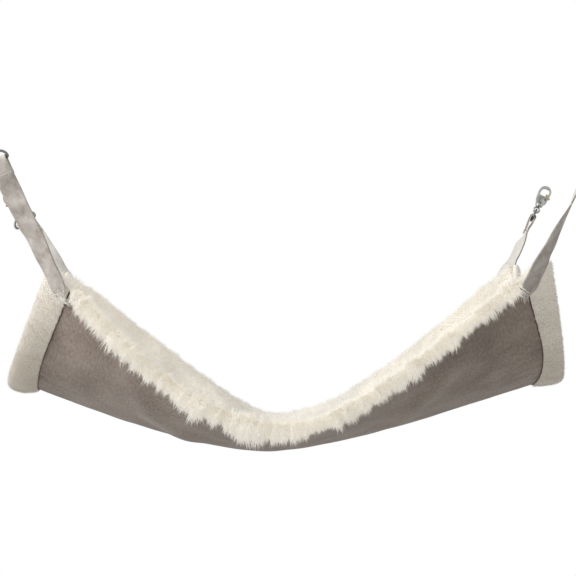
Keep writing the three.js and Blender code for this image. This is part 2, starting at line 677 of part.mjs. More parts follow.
// One corner: strap, ring, eye and clip hang in each other as a chain of groups
function cornerChain(bed, corner) {
  const frame = strapFrame(corner);
  const name = (part) => `${corner.name}_${part}`;
  bed.add(piece(name('strap_end'), strapEnd(frame), STRAP_SUEDE));

  const strap = new THREE.Group();
  strap.name = name('strap_group');
  strap.applyMatrix4(frame.matrix);
  const outerInset = STRAP_LAYER + CLEARANCE;
  strap.add(piece(name('strap'), strapLayer(corner.length, corner.twist, outerInset), STRAP_SUEDE));
  strap.add(piece(name('strap_lining'), strapLayer(corner.length, corner.twist, 0), STRAP_BACKING));
  bed.add(strap);

  const ring = new THREE.Group();
  ring.name = name('ring_group');
  ring.position.z = corner.length;
  ring.rotation.z = corner.twist;
  ring.add(piece(name('d_ring'), dRing(), DARK_STEEL));
  strap.add(ring);

  const eye = new THREE.Group();
  eye.name = name('eye_group');
  eye.position.z = RING_HEIGHT + half(EYE_HOLE) - half(RING_WIRE) - CLEARANCE;
  eye.add(piece(name('swivel_eye'), swivelEye(), STEEL));
  ring.add(eye);

  const clip = new THREE.Group();
  clip.name = name('clip_group');
  clip.rotation.z = spinToFront(frame, corner);
  clip.add(piece(name('clip_body'), clipBody(), STEEL));
  clip.add(piece(name('gate'), clipGate(), BRASS));
  clip.add(piece(name('gate_pin'), gatePin(), DARK_STEEL));
  clip.add(piece(name('gate_spring'), gateSpring(), STEEL));
  eye.add(clip);
  return clip;
}

// How far a clip turns on its eye so that it lies flat to the front with its gate away from the bed
function spinToFront(frame, corner) {
  const x = frame.x.clone().applyAxisAngle(frame.z, corner.twist);
  const y = frame.y.clone().applyAxisAngle(frame.z, corner.twist);
  const wanted = new THREE.Vector3(corner.side, 0, 0);
  return Math.atan2(wanted.dot(y), wanted.dot(x));
}

const FRONT = { depth: -1, length: FRONT_STRAP_LENGTH, sideLean: FRONT_SIDE_LEAN, lean: FRONT_LEAN };
const BACK = { depth: 1, length: BACK_STRAP_LENGTH, twist: BACK_TWIST, lean: BACK_LEAN };
const LEFT = { side: -1, inset: LEFT_STRAP_INSET };
const RIGHT = { side: 1, inset: RIGHT_STRAP_INSET };
const CORNERS = [
  { name: 'front_left', ...LEFT, ...FRONT, twist: FRONT_LEFT_TWIST },
  { name: 'front_right', ...RIGHT, ...FRONT, twist: FRONT_RIGHT_TWIST },
  { name: 'back_left', ...LEFT, ...BACK, sideLean: BACK_LEFT_LEAN },
  { name: 'back_right', ...RIGHT, ...BACK, sideLean: BACK_RIGHT_LEAN },
];

function catBed() {
  const bed = new THREE.Group();
  bed.add(piece('outer_shell', outerShell(), SUEDE));
  bed.add(piece('fleece_lining', fleeceLining(), FLEECE));
  bed.add(piece('left_hem', endHem(-1), FLEECE));
  bed.add(piece('right_hem', endHem(1), FLEECE));
  const clips = CORNERS.map((corner) => cornerChain(bed, corner));
  bed.updateMatrixWorld(true);
  const middle = new THREE.Vector3();
  for (const clip of clips) {
    middle.addScaledVector(clip.localToWorld(new THREE.Vector3(0, 0, SEAT_HEIGHT)), 1 / clips.length);
  }
  bed.position.sub(middle);
  return bed;
}

const group = new THREE.Group();
group.add(catBed());

export default group;
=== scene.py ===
# %% [markdown]
# A hanging cat bed. It is a hammock of two cloths, a smooth suede-like one outside and a long-pile
# fleece inside, slung by four sewn straps that end in D rings and swivel snap clips. The packed
# model gives the bodies, the joints and the room that each part takes. This script dresses them:
# cloth that drapes by a rule, a pile of real tufts, sewn straps, thread and cast metal.

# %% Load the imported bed, the frame for all that follows
import json
import math
import bmesh
import bpy
import numpy as np
from mathutils import Matrix, Vector


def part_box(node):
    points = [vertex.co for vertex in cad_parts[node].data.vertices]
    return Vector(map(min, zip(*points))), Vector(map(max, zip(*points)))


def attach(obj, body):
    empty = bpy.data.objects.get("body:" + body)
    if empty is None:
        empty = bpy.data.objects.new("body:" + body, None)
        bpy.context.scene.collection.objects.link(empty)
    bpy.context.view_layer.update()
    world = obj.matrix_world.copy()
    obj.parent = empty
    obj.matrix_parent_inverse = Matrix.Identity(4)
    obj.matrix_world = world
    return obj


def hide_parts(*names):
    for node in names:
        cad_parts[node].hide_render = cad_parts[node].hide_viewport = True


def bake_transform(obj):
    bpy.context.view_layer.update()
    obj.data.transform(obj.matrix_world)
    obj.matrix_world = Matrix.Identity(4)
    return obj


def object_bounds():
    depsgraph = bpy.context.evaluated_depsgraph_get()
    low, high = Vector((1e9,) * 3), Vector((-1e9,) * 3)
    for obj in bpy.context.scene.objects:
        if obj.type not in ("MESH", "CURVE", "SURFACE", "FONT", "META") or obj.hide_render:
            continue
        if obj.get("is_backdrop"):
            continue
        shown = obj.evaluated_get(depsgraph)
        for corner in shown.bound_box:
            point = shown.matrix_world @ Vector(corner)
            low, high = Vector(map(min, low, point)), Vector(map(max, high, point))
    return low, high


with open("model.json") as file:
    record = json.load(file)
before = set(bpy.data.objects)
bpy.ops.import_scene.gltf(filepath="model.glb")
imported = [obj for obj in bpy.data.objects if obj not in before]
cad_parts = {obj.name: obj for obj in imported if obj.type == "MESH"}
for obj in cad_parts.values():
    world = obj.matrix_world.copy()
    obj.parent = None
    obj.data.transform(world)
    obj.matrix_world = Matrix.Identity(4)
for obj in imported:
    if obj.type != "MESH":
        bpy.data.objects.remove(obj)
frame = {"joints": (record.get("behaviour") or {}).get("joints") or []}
cad_low, cad_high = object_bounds()
joints = {joint["name"]: joint for joint in frame["joints"]}
CORNERS = ["front_left", "front_right", "back_left", "back_right"]
SIDES = ((-1, "left"), (1, "right"))

# %% [markdown]
# The camera stands almost level with the bed and far off, so the bed is seen nearly without
# perspective. A long lens gives that view. The camera comes first, because every later choice of
# detail depends on how large a millimetre is in the picture: about one pixel.

# %% The camera
CAMERA_TARGET = Vector((0.0028, 0, -0.1261))
CAMERA_DISTANCE, CAMERA_REACH = 3.906, 50
CAMERA_ELEVATION = math.radians(0.4)
CAMERA_LENS = 244.9

scene = bpy.context.scene
scene.view_settings.view_transform = "Standard"


def in_scene(name, data):
    """A new object with its data, linked to the scene."""
    made = bpy.data.objects.new(name, data)
    scene.collection.objects.link(made)
    return made


def stand(made, place, back):
    """Puts a camera or a lamp at a place, with its back turned to the direction back."""
    made.location = place
    made.rotation_mode = "QUATERNION"
    made.rotation_quaternion = back.to_track_quat("Z", "Y")


camera = in_scene("Camera", bpy.data.cameras.new("Camera"))
camera.data.lens = CAMERA_LENS
camera.data.clip_end = CAMERA_REACH
camera_back = Vector((0, -math.cos(CAMERA_ELEVATION), math.sin(CAMERA_ELEVATION)))
stand(camera, CAMERA_TARGET + camera_back * CAMERA_DISTANCE, camera_back)
scene.camera = camera
print("camera at", [round(value, 3) for value in camera.location])

# %% [markdown]
# A material is a small sum of patterns. Writing the sums as Python expressions keeps them readable,
# so a class wraps a node's socket and gives it plus, minus and times. Everything that isn't plain
# maths comes from one method that takes a node's type, its settings and its inputs. The same class
# of node trees serves the finishes, the Geometry Nodes and the sky.


# %% Node maths as expressions
class Value:
    """One output of a node. Plus, minus and times on it add Math nodes."""

    def __init__(self, nodes, socket):
        self.nodes = nodes
        self.socket = socket

    def maths(self, operation, other, turned=False):
        pair = (other, self) if turned else (self, other)
        return self.nodes.node("ShaderNodeMath", {"operation": operation}, dict(enumerate(pair)))

    def also(self, output):
        """Another output of the same node."""
        return Value(self.nodes, self.socket.node.outputs[output])

    def __add__(self, other):
        return self.maths("ADD", other)

    __radd__ = __add__

    def __mul__(self, other):
        return self.maths("MULTIPLY", other)

    __rmul__ = __mul__

    def __sub__(self, other):
        return self.maths("SUBTRACT", other)

    def __rsub__(self, other):
        return self.maths("SUBTRACT", other, turned=True)


class Nodes:
    """A node tree with one method for any node in it."""

    def __init__(self, tree):
        self.tree = tree
        self.tree.nodes.clear()

    def node(self, kind, settings=None, inputs=None, output=0):
        """A node from its type, its settings, and the values or links of its sockets."""
        made = self.tree.nodes.new(kind)
        for name, setting in (settings or {}).items():
            setattr(made, name, setting)
        for key, given in (inputs or {}).items():
            self.set(made.inputs[key], given)
        return None if output is None else Value(self, made.outputs[output])

    def set(self, socket, given):
        if isinstance(given, Value):
            self.tree.links.new(given.socket, socket)
        else:
            socket.default_value = given


class Finish(Nodes):
    """A material for one of the bed's surfaces."""

    def __init__(self, name):
        self.material = bpy.data.materials.new(name)
        self.material.use_nodes = True
        super().__init__(self.material.node_tree)
        principled = self.node("ShaderNodeBsdfPrincipled")
        self.shader = principled.socket.node
        self.node("ShaderNodeOutputMaterial", {}, {"Surface": principled}, None)

    def surface(self, **given):
        """Sets the shader's sockets, each named with _ for a space."""
        for name, value in given.items():
            self.set(self.shader.inputs[name.replace("_", " ")], value)

    def blend(self, factor, first, second):
        settings = {"data_type": "RGBA", "clamp_factor": True}
        return self.node("ShaderNodeMix", settings, {0: factor, 6: first, 7: second}, 2)

    def cloud(self, place, per_metre, detail=2.0, roughness=0.5):
        inputs = {"Vector": place, "Scale": per_metre, "Detail": detail, "Roughness": roughness}
        return self.node("ShaderNodeTexNoise", {}, inputs, "Fac")

    def stretched(self, place, scale):
        return self.node("ShaderNodeMapping", {}, {"Vector": place, "Scale": scale})

    def bump(self, height, strength, distance):
        inputs = {"Height": height, "Strength": strength, "Distance": distance}
        self.surface(Normal=self.node("ShaderNodeBump", {}, inputs))

    def own_place(self):
        return self.node("ShaderNodeTexCoord", {}, {}, "Object")

    def cloth_place(self):
        return self.node("ShaderNodeUVMap", {"uv_map": "cloth"})


def light(red, green, blue):
    """A colour as a screen shows it, from 0 to 255, as the light that a shader works with."""
    def linear(value):
        share = value / 255
        return share / 12.92 if share <= 0.04045 else ((share + 0.055) / 1.055) ** 2.4
    return (linear(red), linear(green), linear(blue), 1)


print("middle grey is", round(light(128, 128, 128)[0], 3), "of the light that white sends back")

# %% [markdown]
# The suede is a brushed microfibre: matt, with a nap that lies this way and that, so it shows soft
# blotches and a fine grain but no weave. Noise at three sizes gives them. The pattern reads the
# cloth's own lengthwise and crosswise measure, so it follows the folds as a real nap does. The pale
# edge glow of such cloth is the shader's sheen. The straps show less grain than the shell, so the
# share of fine grain is a value of each cloth. Less grain also makes the blotches stronger. On the
# straps they are as large as the light and dark bands that the strap's waves show, so there the
# blotches are partly the cloth's own tone and partly painted light and painted shade.

# %% The suede-like cloths and the plain backing
NAP_PER_METRE, NAP_STRETCH, GRAIN_PER_METRE = 420, 0.45, 1500


def suede(name, dark, pale, blotch_size, grain_depth, grain_share=1.0):
    finish = Finish(name)
    place = finish.cloth_place()
    blotch = finish.cloud(place, 1 / blotch_size, 3.0, 0.55)
    nap = finish.cloud(finish.stretched(place, (1, NAP_STRETCH, 1)), NAP_PER_METRE, 2.0, 0.6)
    grain = finish.cloud(place, GRAIN_PER_METRE, 2.0, 0.65)
    fine = (nap * 1.2 + grain * 1.1 - 1.15) * grain_share
    # On the straps these blotches are partly painted light and painted shade, in bands.
    nap_tone_and_painted_bands = blotch * (2.2 - 1.1 * grain_share) + fine - 0.05 - 0.55 * (1 - grain_share)
    finish.surface(Base_Color=finish.blend(nap_tone_and_painted_bands, dark, pale), Roughness=nap * 0.16 + 0.82)
    finish.surface(Sheen_Weight=0.22, Sheen_Roughness=0.45, Specular_IOR_Level=0.25)
    finish.bump(grain * 0.6 + nap * 0.9 + blotch * 0.5, 0.55, grain_depth)
    return finish.material


SUEDE = suede("shell_suede", light(104, 90, 80), light(168, 154, 142), 0.045, 0.0006)
# Painted light and shade: the strap cloths' strong blotches stand partly for the bands of their
# waves.
STRAP_SUEDE = suede("strap_suede", light(136, 126, 117), light(228, 221, 213), 0.022, 0.0004, 0.3)
STRAP_BACKING = suede("strap_backing", light(208, 204, 197), light(240, 237, 231), 0.02, 0.0003,
                      0.5)
print("cloth finishes", SUEDE.name, STRAP_SUEDE.name, STRAP_BACKING.name)

# %% [markdown]
# The fleece is a cream plush. Its depth comes from real tufts, so its colour stays simple: a little
# warmer at the roots than at the tips, with faint patches where the pile is pressed. Each tuft
# carries how far along it a point lies, and the shader reads that. Light scatters from hair to hair
# inside such pile, so it has no deep shadows. A weak emission in the pile's own colour stands for
# that light. It is a stand-in, set until the colours came near those of the photo, and not a
# simulation. The pile of the hems is coloured darker towards its lower end, by a share of its
# height. That is painted shade, for the lower end faces down and away from the lamp.

# %% The fleece, the thread and the metals
FLEECE_GLOW, HEM_GLOW, HEM_SHADE, HEM_MIDDLE = 0.41, 0.12, 7.0, -0.17
PATCHES_PER_METRE, STRANDS_PER_METRE, PLIES_PER_METRE = 38, 700, 1800
SMUDGES_PER_METRE, SCRATCHES_PER_METRE = 160, 900


def plush(name, root, tip, glow, shade=0.0):
    finish = Finish(name)
    height = finish.node("ShaderNodeSeparateXYZ", {}, {0: finish.own_place()}, 2)
    along = finish.node("ShaderNodeAttribute", {"attribute_name": "tip"}, {}, "Fac")
    patch = finish.cloud(finish.own_place(), PATCHES_PER_METRE, 2.0)
    strand = finish.cloud(finish.own_place(), STRANDS_PER_METRE, 1.0)
    # Painted shade: the hem pile is coloured darker lower down, where it faces away from the lamp.
    painted_shade_by_height = (height - HEM_MIDDLE) * shade
    colour = finish.blend(along * 0.65 + patch * 0.5 + strand * 0.4 + painted_shade_by_height - 0.2, root, tip)
    finish.surface(Base_Color=colour, Roughness=0.95, Specular_IOR_Level=0.1)
    finish.surface(Sheen_Weight=0.3, Sheen_Roughness=0.6)
    finish.surface(Emission_Color=colour, Emission_Strength=glow)
    return finish.material


def thread(name, pale, dark):
    finish = Finish(name)
    ply = finish.cloud(finish.own_place(), PLIES_PER_METRE, 2.0)
    finish.surface(Base_Color=finish.blend(ply * 1.4 - 0.2, dark, pale), Roughness=0.75)
    finish.surface(Sheen_Weight=0.15)
    finish.bump(ply, 0.4, 0.0002)
    return finish.material


def metal(name, dark, pale, roughness):
    finish = Finish(name)
    place = finish.own_place()
    # Smudges, and on the clip steel also painted reflection: dark patches for dark things polished
    # steel would mirror.
    smudge_and_painted_reflection = finish.cloud(place, SMUDGES_PER_METRE, 3.0)
    lengthened = finish.stretched(place, (1, 1, 6))
    scratch = finish.cloud(lengthened, SCRATCHES_PER_METRE, 2.0, 0.7)
    finish.surface(Base_Color=finish.blend(smudge_and_painted_reflection * 1.3 - 0.15, dark, pale), Metallic=1.0)
    finish.surface(Roughness=smudge_and_painted_reflection * 0.16 + scratch * 0.08 + roughness)
    finish.bump(smudge_and_painted_reflection + scratch * 0.3, 0.12, 0.0002)
    return finish.material


FLEECE = plush("fleece_pile", light(198, 191, 177), light(246, 242, 234), FLEECE_GLOW)
HEM_FLEECE = plush("hem_pile", light(206, 196, 182), light(255, 250, 240), HEM_GLOW, HEM_SHADE)
WHITE_THREAD = thread("white_thread", light(246, 243, 236), light(214, 208, 198))
# Painted shade: the hem seam thread's dark colour is partly its own and partly the shade of the
# crease it lies in.
SEAM_THREAD_AND_CREASE_SHADE = thread("seam_thread", light(104, 86, 70), light(58, 46, 37))
# The clip steel's dark and pale patches are partly smudges and partly painted reflection.
CLIP_STEEL = metal("clip_steel", light(96, 98, 94), light(206, 208, 202), 0.12)
RING_STEEL = metal("ring_steel", light(92, 92, 90), light(138, 138, 134), 0.24)
GATE_BRASS = metal("gate_metal", light(142, 122, 84), light(196, 176, 128), 0.2)
print("pile, thread and metal finishes made")

# %% [markdown]
# A cloth that hangs by its corners takes a shape that its own size sets. Each long edge is a curve
# of the cloth's length between two corners, rounder or sharper at the bottom by a share. Across the
# bed the cloth hangs in a U that is deep at the ends and shallow in the middle, and the width in
# space follows from the width of the cloth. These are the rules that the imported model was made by,
# so they are written out again here, in metres, and worked out on a fine grid.

# %% The cloth's sizes
CLOTH_LENGTH, CLOTH_WIDTH = 0.575, 0.450
SHELL_THICKNESS, LINING_THICKNESS = 0.0016, 0.008
HEM_WIDTH, HEM_THICKNESS, HEM_GAP = 0.025, 0.004, 0.0005
FRONT_PILE_DROP, BACK_PILE_DROP, PILE_START, PILE_PAST = 0.008, 0.002, 0.014, 0.004
CLEARANCE = 0.0003
CORNER_SPAN, FRONT_SHIFT, BACK_SHIFT = 0.470, 0.011, 0.001
FRONT_RISE, RIGHT_RISE = 0.005, 0.007
LEFT_END_DEPTH, RIGHT_END_DEPTH, BELLY_DEPTH = 0.107, 0.110, 0.023
LEFT_SPLAY, RIGHT_SPLAY = 0.042, 0.027
FRONT_ROUND_SHARES, BACK_ROUND_SHARES = (0.7, 0.4), (0.15, 0.6)
DEPTH_ROUND_SHARE, LOW_POINT_SHARE = 0.3, 0.055
END_CURVE_POWER, BELLY_CURVE_POWER = 2.2, 2
FOLD_HEIGHT, FOLD_WIDTH = 0.004, 0.019
FOLD_SHARES = [
    ((0.66, -0.9), (0.36, -0.4)),
    ((-0.62, -0.85), (-0.36, -0.35)),
    ((0.7, 0.85), (0.4, 0.3)),
    ((-0.7, 0.85), (-0.4, 0.3)),
]
HALF_LENGTH, HALF_WIDTH = CLOTH_LENGTH / 2, CLOTH_WIDTH / 2
HEM_SEAM = HALF_LENGTH - HEM_WIDTH
LINING_BASE = SHELL_THICKNESS + CLEARANCE
LINING_TOP = LINING_BASE + LINING_THICKNESS
HEM_INNER = HALF_LENGTH + HEM_GAP
HEM_OUTER = HEM_INNER + HEM_THICKNESS
print("cloth", CLOTH_LENGTH, "by", CLOTH_WIDTH, "with", len(FOLD_SHARES), "main folds")

# %% [markdown]
# A long edge is always as long as its cloth. So its sag isn't typed in: a range is halved until the
# curve's measured length is that of the cloth. The same search gives the width of the U at each
# cross-section. Lengths are measured along the curves, because the cloth's own measure says where
# each seam, fold and strap lies.

# %% The curves that the cloth hangs in
SPREAD = np.linspace(-1, 1, 65)
HALVINGS = 40


def mix(first, second, share):
    return first + (second - first) * share


def smooth_step(value, low, high):
    """Nothing up to low, one from high on, and a smooth rise between them."""
    share = np.clip((value - low) / (high - low), 0, 1)
    return share * share * (3 - 2 * share)


def travelled(points):
    """Distances along a line of points, from its start."""
    steps = np.linalg.norm(np.diff(points, axis=0), axis=1)
    return np.concatenate([[0], np.cumsum(steps)])


def measured(points):
    """Distances along a line of points, from its middle."""
    total = travelled(points)
    return total - total[-1] / 2


def carried_on(wanted, known, values):
    """Values at the wanted places, in a straight line past either end."""
    wanted = np.asarray(wanted, float)
    start = (values[1] - values[0]) / (known[1] - known[0])
    end = (values[-1] - values[-2]) / (known[-1] - known[-2])
    inside = np.interp(wanted, known, values)
    inside = np.where(wanted < known[0], values[0] + (wanted - known[0]) * start, inside)
    return np.where(wanted > known[-1], values[-1] + (wanted - known[-1]) * end, inside)


def solve_for(target, high, measure):
    """The number from 0 to high at which a rising measure reaches its target, by halving."""
    low = 0.0
    for _ in range(HALVINGS):
        middle = (low + high) / 2
        low, high = (middle, high) if measure(middle) < target else (low, middle)
    return (low + high) / 2


def round_rise(s, share):
    return (np.hypot(s, share) - share) / (np.hypot(1, share) - share)


def long_edge(s, sag, shares):
    """The height of a long edge at s, which runs from -1 at the left corner to 1 at the right."""
    from_low = s + LOW_POINT_SHARE * (1 - s * s)
    rise = np.where(from_low < 0, round_rise(from_low, shares[0]), round_rise(from_low, shares[1]))
    return RIGHT_RISE * (1 + s) / 2 - sag * (1 - rise)


def edge_line(sag, shares):
    return np.stack([SPREAD * CORNER_SPAN / 2, long_edge(SPREAD, sag, shares)], axis=1)


def sag_for(shares):
    """The sag at which a long edge is as long as its cloth."""
    def length(sag):
        return 2 * measured(edge_line(sag, shares))[-1]
    return solve_for(CLOTH_LENGTH, CLOTH_LENGTH, length)


front_sag, back_sag = sag_for(FRONT_ROUND_SHARES), sag_for(BACK_ROUND_SHARES)
front_measure = measured(edge_line(front_sag, FRONT_ROUND_SHARES))
print("the long edges sag", round(front_sag, 4), "in front and", round(back_sag, 4), "behind")

# %% [markdown]
# A cloth shows small creases besides its main folds: it puckers beside the hem seams, and it has a
# soft, uneven surface. A sum of a few waves in chosen directions gives any of these fields. It is
# smooth, repeats nowhere on the bed, and comes out the same each run.

# %% Uneven fields and the cloth's folds
PUCKER_HEIGHT, PUCKER_PITCH, PUCKER_REACH = 0.0005, 0.017, 0.03
PUCKER_DRIFT, PUCKER_DRIFT_SIZE = 2, 0.12
UNEVEN_HEIGHT, UNEVEN_SIZE = 0.0002, 0.05
WAVES, LEAST_STRETCH, MOST_STRETCH = 12, 0.6, 1.5


def ripple(along, across, wavelength, seed):
    """A smooth random field over the cloth, mostly between -2 and 2."""
    draw = np.random.default_rng(seed)
    total = 0
    for _ in range(WAVES):
        turn, phase = draw.uniform(0, math.tau), draw.uniform(0, math.tau)
        stretch = draw.uniform(LEAST_STRETCH, MOST_STRETCH)
        total = total + np.sin((along * math.cos(turn) + across * math.sin(turn))
                               * math.tau * stretch / wavelength + phase)
    return total / math.sqrt(WAVES / 2)


def near_line(along, across, start, end, width):
    """One on the line from start to end, falling off to nothing beside it."""
    run = np.subtract(end, start)
    share = ((along - start[0]) * run[0] + (across - start[1]) * run[1]) / (run @ run)
    share = np.clip(share, 0, 1)
    away = np.hypot(along - start[0] - share * run[0], across - start[1] - share * run[1])
    return np.exp(-(away / width) ** 2)


def fold_depth(along, across):
    """How far the cloth bulges outwards: main folds, puckers and unevenness."""
    depth = 0
    for start, end in FOLD_SHARES:
        places = [(x * HALF_LENGTH, y * HALF_WIDTH) for x, y in (start, end)]
        depth = depth + FOLD_HEIGHT * near_line(along, across, *places, FOLD_WIDTH)
    beside_hem = np.exp(-((np.abs(along) - HEM_SEAM) / PUCKER_REACH) ** 2)
    drift = PUCKER_DRIFT * ripple(along, across, PUCKER_DRIFT_SIZE, 5)
    pucker = np.sin(across * math.tau / PUCKER_PITCH + drift)
    depth = depth + PUCKER_HEIGHT * beside_hem * pucker
    return depth + UNEVEN_HEIGHT * ripple(along, across, UNEVEN_SIZE, 11)


fold_start = np.array(FOLD_SHARES[0][0]) * (HALF_LENGTH, HALF_WIDTH)
print("the first fold starts", float(fold_depth(*fold_start).round(4)), "deep")

# %% [markdown]
# The surface is worked out once, row by row, on a grid of two millimetres. Every other piece asks
# the grid for a place, by its measure along the cloth, its measure across, and its height over the
# outer face. So all the layers keep their distance from each other, however the cloth bends.

# %% The outer face of the shell on a fine grid
GRID_STEP, GRID_ALONG, GRID_ACROSS, PAST_END = 0.002, 0.304, 0.250, 0.0001
ALONG = np.arange(-GRID_ALONG, GRID_ALONG + PAST_END, GRID_STEP)
ACROSS = np.arange(-GRID_ACROSS, GRID_ACROSS + PAST_END, GRID_STEP)


def cloth_row(s):
    """One cross-section of the cloth, as a row of points."""
    middle_share = 1 - round_rise(s, DEPTH_ROUND_SHARE)
    depth = mix(LEFT_END_DEPTH if s < 0 else RIGHT_END_DEPTH, BELLY_DEPTH, middle_share)
    splay = (LEFT_SPLAY if s < 0 else RIGHT_SPLAY) * s * s
    power = mix(END_CURVE_POWER, BELLY_CURVE_POWER, middle_share)
    reach = math.hypot(depth, splay)

    def line(width):
        return np.stack([SPREAD * width / 2, -reach * (1 - np.abs(SPREAD) ** power)], axis=1)

    width = solve_for(CLOTH_WIDTH, CLOTH_WIDTH, lambda size: 2 * measured(line(size))[-1])
    t = carried_on(ACROSS, measured(line(width)), SPREAD)
    low = 1 - np.abs(t) ** power
    back_share = (1 + t) / 2
    x = mix(FRONT_SHIFT, BACK_SHIFT, back_share) + s * CORNER_SPAN / 2 + np.sign(s) * splay * low
    front = FRONT_RISE + long_edge(s, front_sag, FRONT_ROUND_SHARES)
    z = mix(front, long_edge(s, back_sag, BACK_ROUND_SHARES), back_share) - depth * low
    return np.stack([x, t * width / 2, z], axis=1)


def unit(vectors):
    return vectors / np.linalg.norm(vectors, axis=-1, keepdims=True)


def on_grid(grid, along, across):
    """The grid's value at any place on the cloth."""
    u, v = (along - ALONG[0]) / GRID_STEP, (across - ACROSS[0]) / GRID_STEP
    i = np.clip(np.floor(u).astype(int), 0, len(ALONG) - 2)
    j = np.clip(np.floor(v).astype(int), 0, len(ACROSS) - 2)
    p, q = (u - i)[..., None], (v - j)[..., None]
    near = mix(grid[i, j], grid[i + 1, j], p)
    return mix(near, mix(grid[i, j + 1], grid[i + 1, j + 1], p), q)


def on_cloth(along, across, height):
    """Places in space by the measure along and across and the height over the outer face."""
    along, across, height = np.broadcast_arrays(*np.atleast_1d(along, across, height))
    return on_grid(face, along, across) + on_grid(inward, along, across) * height[..., None]


face = np.array([cloth_row(s) for s in carried_on(ALONG, front_measure, SPREAD)])
face[..., 2] -= fold_depth(*np.meshgrid(ALONG, ACROSS, indexing="ij"))
lengthwise, crosswise = unit(np.gradient(face, axis=0)), unit(np.gradient(face, axis=1))
inward = unit(np.cross(lengthwise, crosswise))
print("grid of", face.shape[:2], "places")

# %% [markdown]
# The rule gives the cloth's shape but not its place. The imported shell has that, so the box round a
# sample of the cloth is moved onto the box of the shell: middle to middle across and along, and top
# to top, because the corners hang at the height that the straps give them.

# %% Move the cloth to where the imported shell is
corners = np.meshgrid(np.linspace(-1, 1, 101), np.linspace(-1, 1, 91), (0, 1), indexing="ij")
spots = on_cloth(corners[0] * HALF_LENGTH, corners[1] * HALF_WIDTH, corners[2] * SHELL_THICKNESS)
spots = spots.reshape(-1, 3)
shell_low, shell_high = (np.array(corner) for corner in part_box("outer_shell"))
shift = (shell_low + shell_high - spots.min(0) - spots.max(0)) / 2
shift[2] = shell_high[2] - spots[:, 2].max()
face += shift
size_off = spots.max(0) - spots.min(0) - shell_high + shell_low
print("cloth moved by", shift.round(4), "size off by", size_off.round(4))

# %% [markdown]
# Two helpers make most pieces. One turns a list of points and faces into a mesh with its finish,
# its cloth measure and its body. The other draws a skin through a row of rings, which gives wires,
# straps and hems, closes it at the ends, and turns it the right way out by its volume.


# %% Meshes from points
def volume(points, faces):
    """Six times the volume that the faces enclose, below zero where they face inwards."""
    total = 0
    for corners_of in faces:
        a = points[corners_of[:, 0]]
        for n in range(1, corners_of.shape[1] - 1):
            b, c = points[corners_of[:, n]], points[corners_of[:, n + 1]]
            total += np.einsum("ij,ij->", a, np.cross(b, c))
    return total


def faced_out(points, faces):
    return [group[:, ::-1] for group in faces] if volume(points, faces) < 0 else faces


def piece(name, points, faces, finish, body=None, cloth=None):
    """A mesh object from arrays of faces that have equally many corners each."""
    points = np.asarray(points, float).reshape(-1, 3)
    faces = faced_out(points, faces)
    mesh = bpy.data.meshes.new(name)
    mesh.from_pydata(points.tolist(), [], [row for group in faces for row in group.tolist()])
    mesh.materials.append(finish)
    mesh.shade_smooth()
    if cloth is not None:
        corner_of = np.empty(len(mesh.loops), np.int32)
        mesh.loops.foreach_get("vertex_index", corner_of)
        layer = mesh.uv_layers.new(name="cloth")
        layer.data.foreach_set("uv", np.asarray(cloth, float).reshape(-1, 2)[corner_of].ravel())
    made = in_scene(name, mesh)
    if body:
        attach(made, body)
    return made


def skin_faces(rings, ring_size, joined=False):
    """Faces between rings of points. An open skin gets a ladder of faces over each end."""
    k = np.arange(rings if joined else rings - 1)[:, None] * ring_size
    n = np.arange(ring_size)[None, :]
    m = (n + 1) % ring_size
    following = (k + ring_size) % (rings * ring_size)
    sides = np.stack([k + n, k + m, following + m, following + n], axis=-1).reshape(-1, 4)
    if joined:
        return [sides]
    last = (rings - 1) * ring_size
    ladder = np.array([[r, ring_size - 1 - r, ring_size - 2 - r, r + 1]
                       for r in range(ring_size // 2 - 1)])
    return [sides, ladder, ladder[:, ::-1] + last]


def skin(name, rings, finish, body=None, cloth=None, joined=False):
    rings = np.asarray(rings)
    return piece(name, rings, skin_faces(*rings.shape[:2], joined), finish, body, cloth)


print("a tube of 3 rings of 8 points has", sum(len(group) for group in skin_faces(3, 8)), "faces")

# %% [markdown]
# The shell is one closed cloth, 1.6 mm thick. Its outline runs down one face and back up the other,
# ring after ring along the bed, so it is the same skin as everything else. A thickness made by
# points instead of a modifier keeps both faces at their measured heights, clear of the lining.

# %% The outer shell
SHELL_ROWS, SHELL_COLUMNS = 200, 160


def there_and_back(outer, inner):
    """Rings round a cloth: out along its outer face and back along its inner one."""
    return np.concatenate([outer, inner[:, ::-1]], axis=1)


rows = np.linspace(-HALF_LENGTH, HALF_LENGTH, SHELL_ROWS)[:, None]
columns = np.linspace(-HALF_WIDTH, HALF_WIDTH, SHELL_COLUMNS)[None, :]
shell_rings = there_and_back(on_cloth(rows, columns, 0.0), on_cloth(rows, columns, SHELL_THICKNESS))
shell_across = there_and_back(columns + 0 * rows, columns + 0 * rows)
shell_cloth = np.stack([rows + 0 * shell_across, shell_across], axis=-1)
shell = skin("shell_cloth", shell_rings, SUEDE, "bed", shell_cloth)
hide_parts("outer_shell")
print("shell", len(shell.data.polygons), "faces")

# %% [markdown]
# Each strap is a two-layer ribbon. It lies on the outside of its corner, leaves it at the hinge,
# turns on its way up, folds over the bar of its ring and comes back down to a cross seam. The
# joints of the frame give the hinge, the bar and the directions, so the ribbon is drawn between
# them. One unbroken ribbon bends across the joint, from the outside of the corner up to the bar.

# %% The directions at each corner, from the joints
STRAP_WIDTH, STRAP_LAYER, STRAP_FOLD, STRAP_STAND_OFF = 0.020, 0.0008, 0.014, 0.015
STRAP_INSETS, STRAP_SEWN, STRAP_END_SHARE = {"left": 0.017, "right": 0.027}, 0.016, 0.5
STRAP_THICKNESS = 2 * STRAP_LAYER + CLEARANCE
STRAP_MIDDLE = -2 * CLEARANCE - HEM_THICKNESS - STRAP_THICKNESS / 2
RING_WIRE = 0.0025


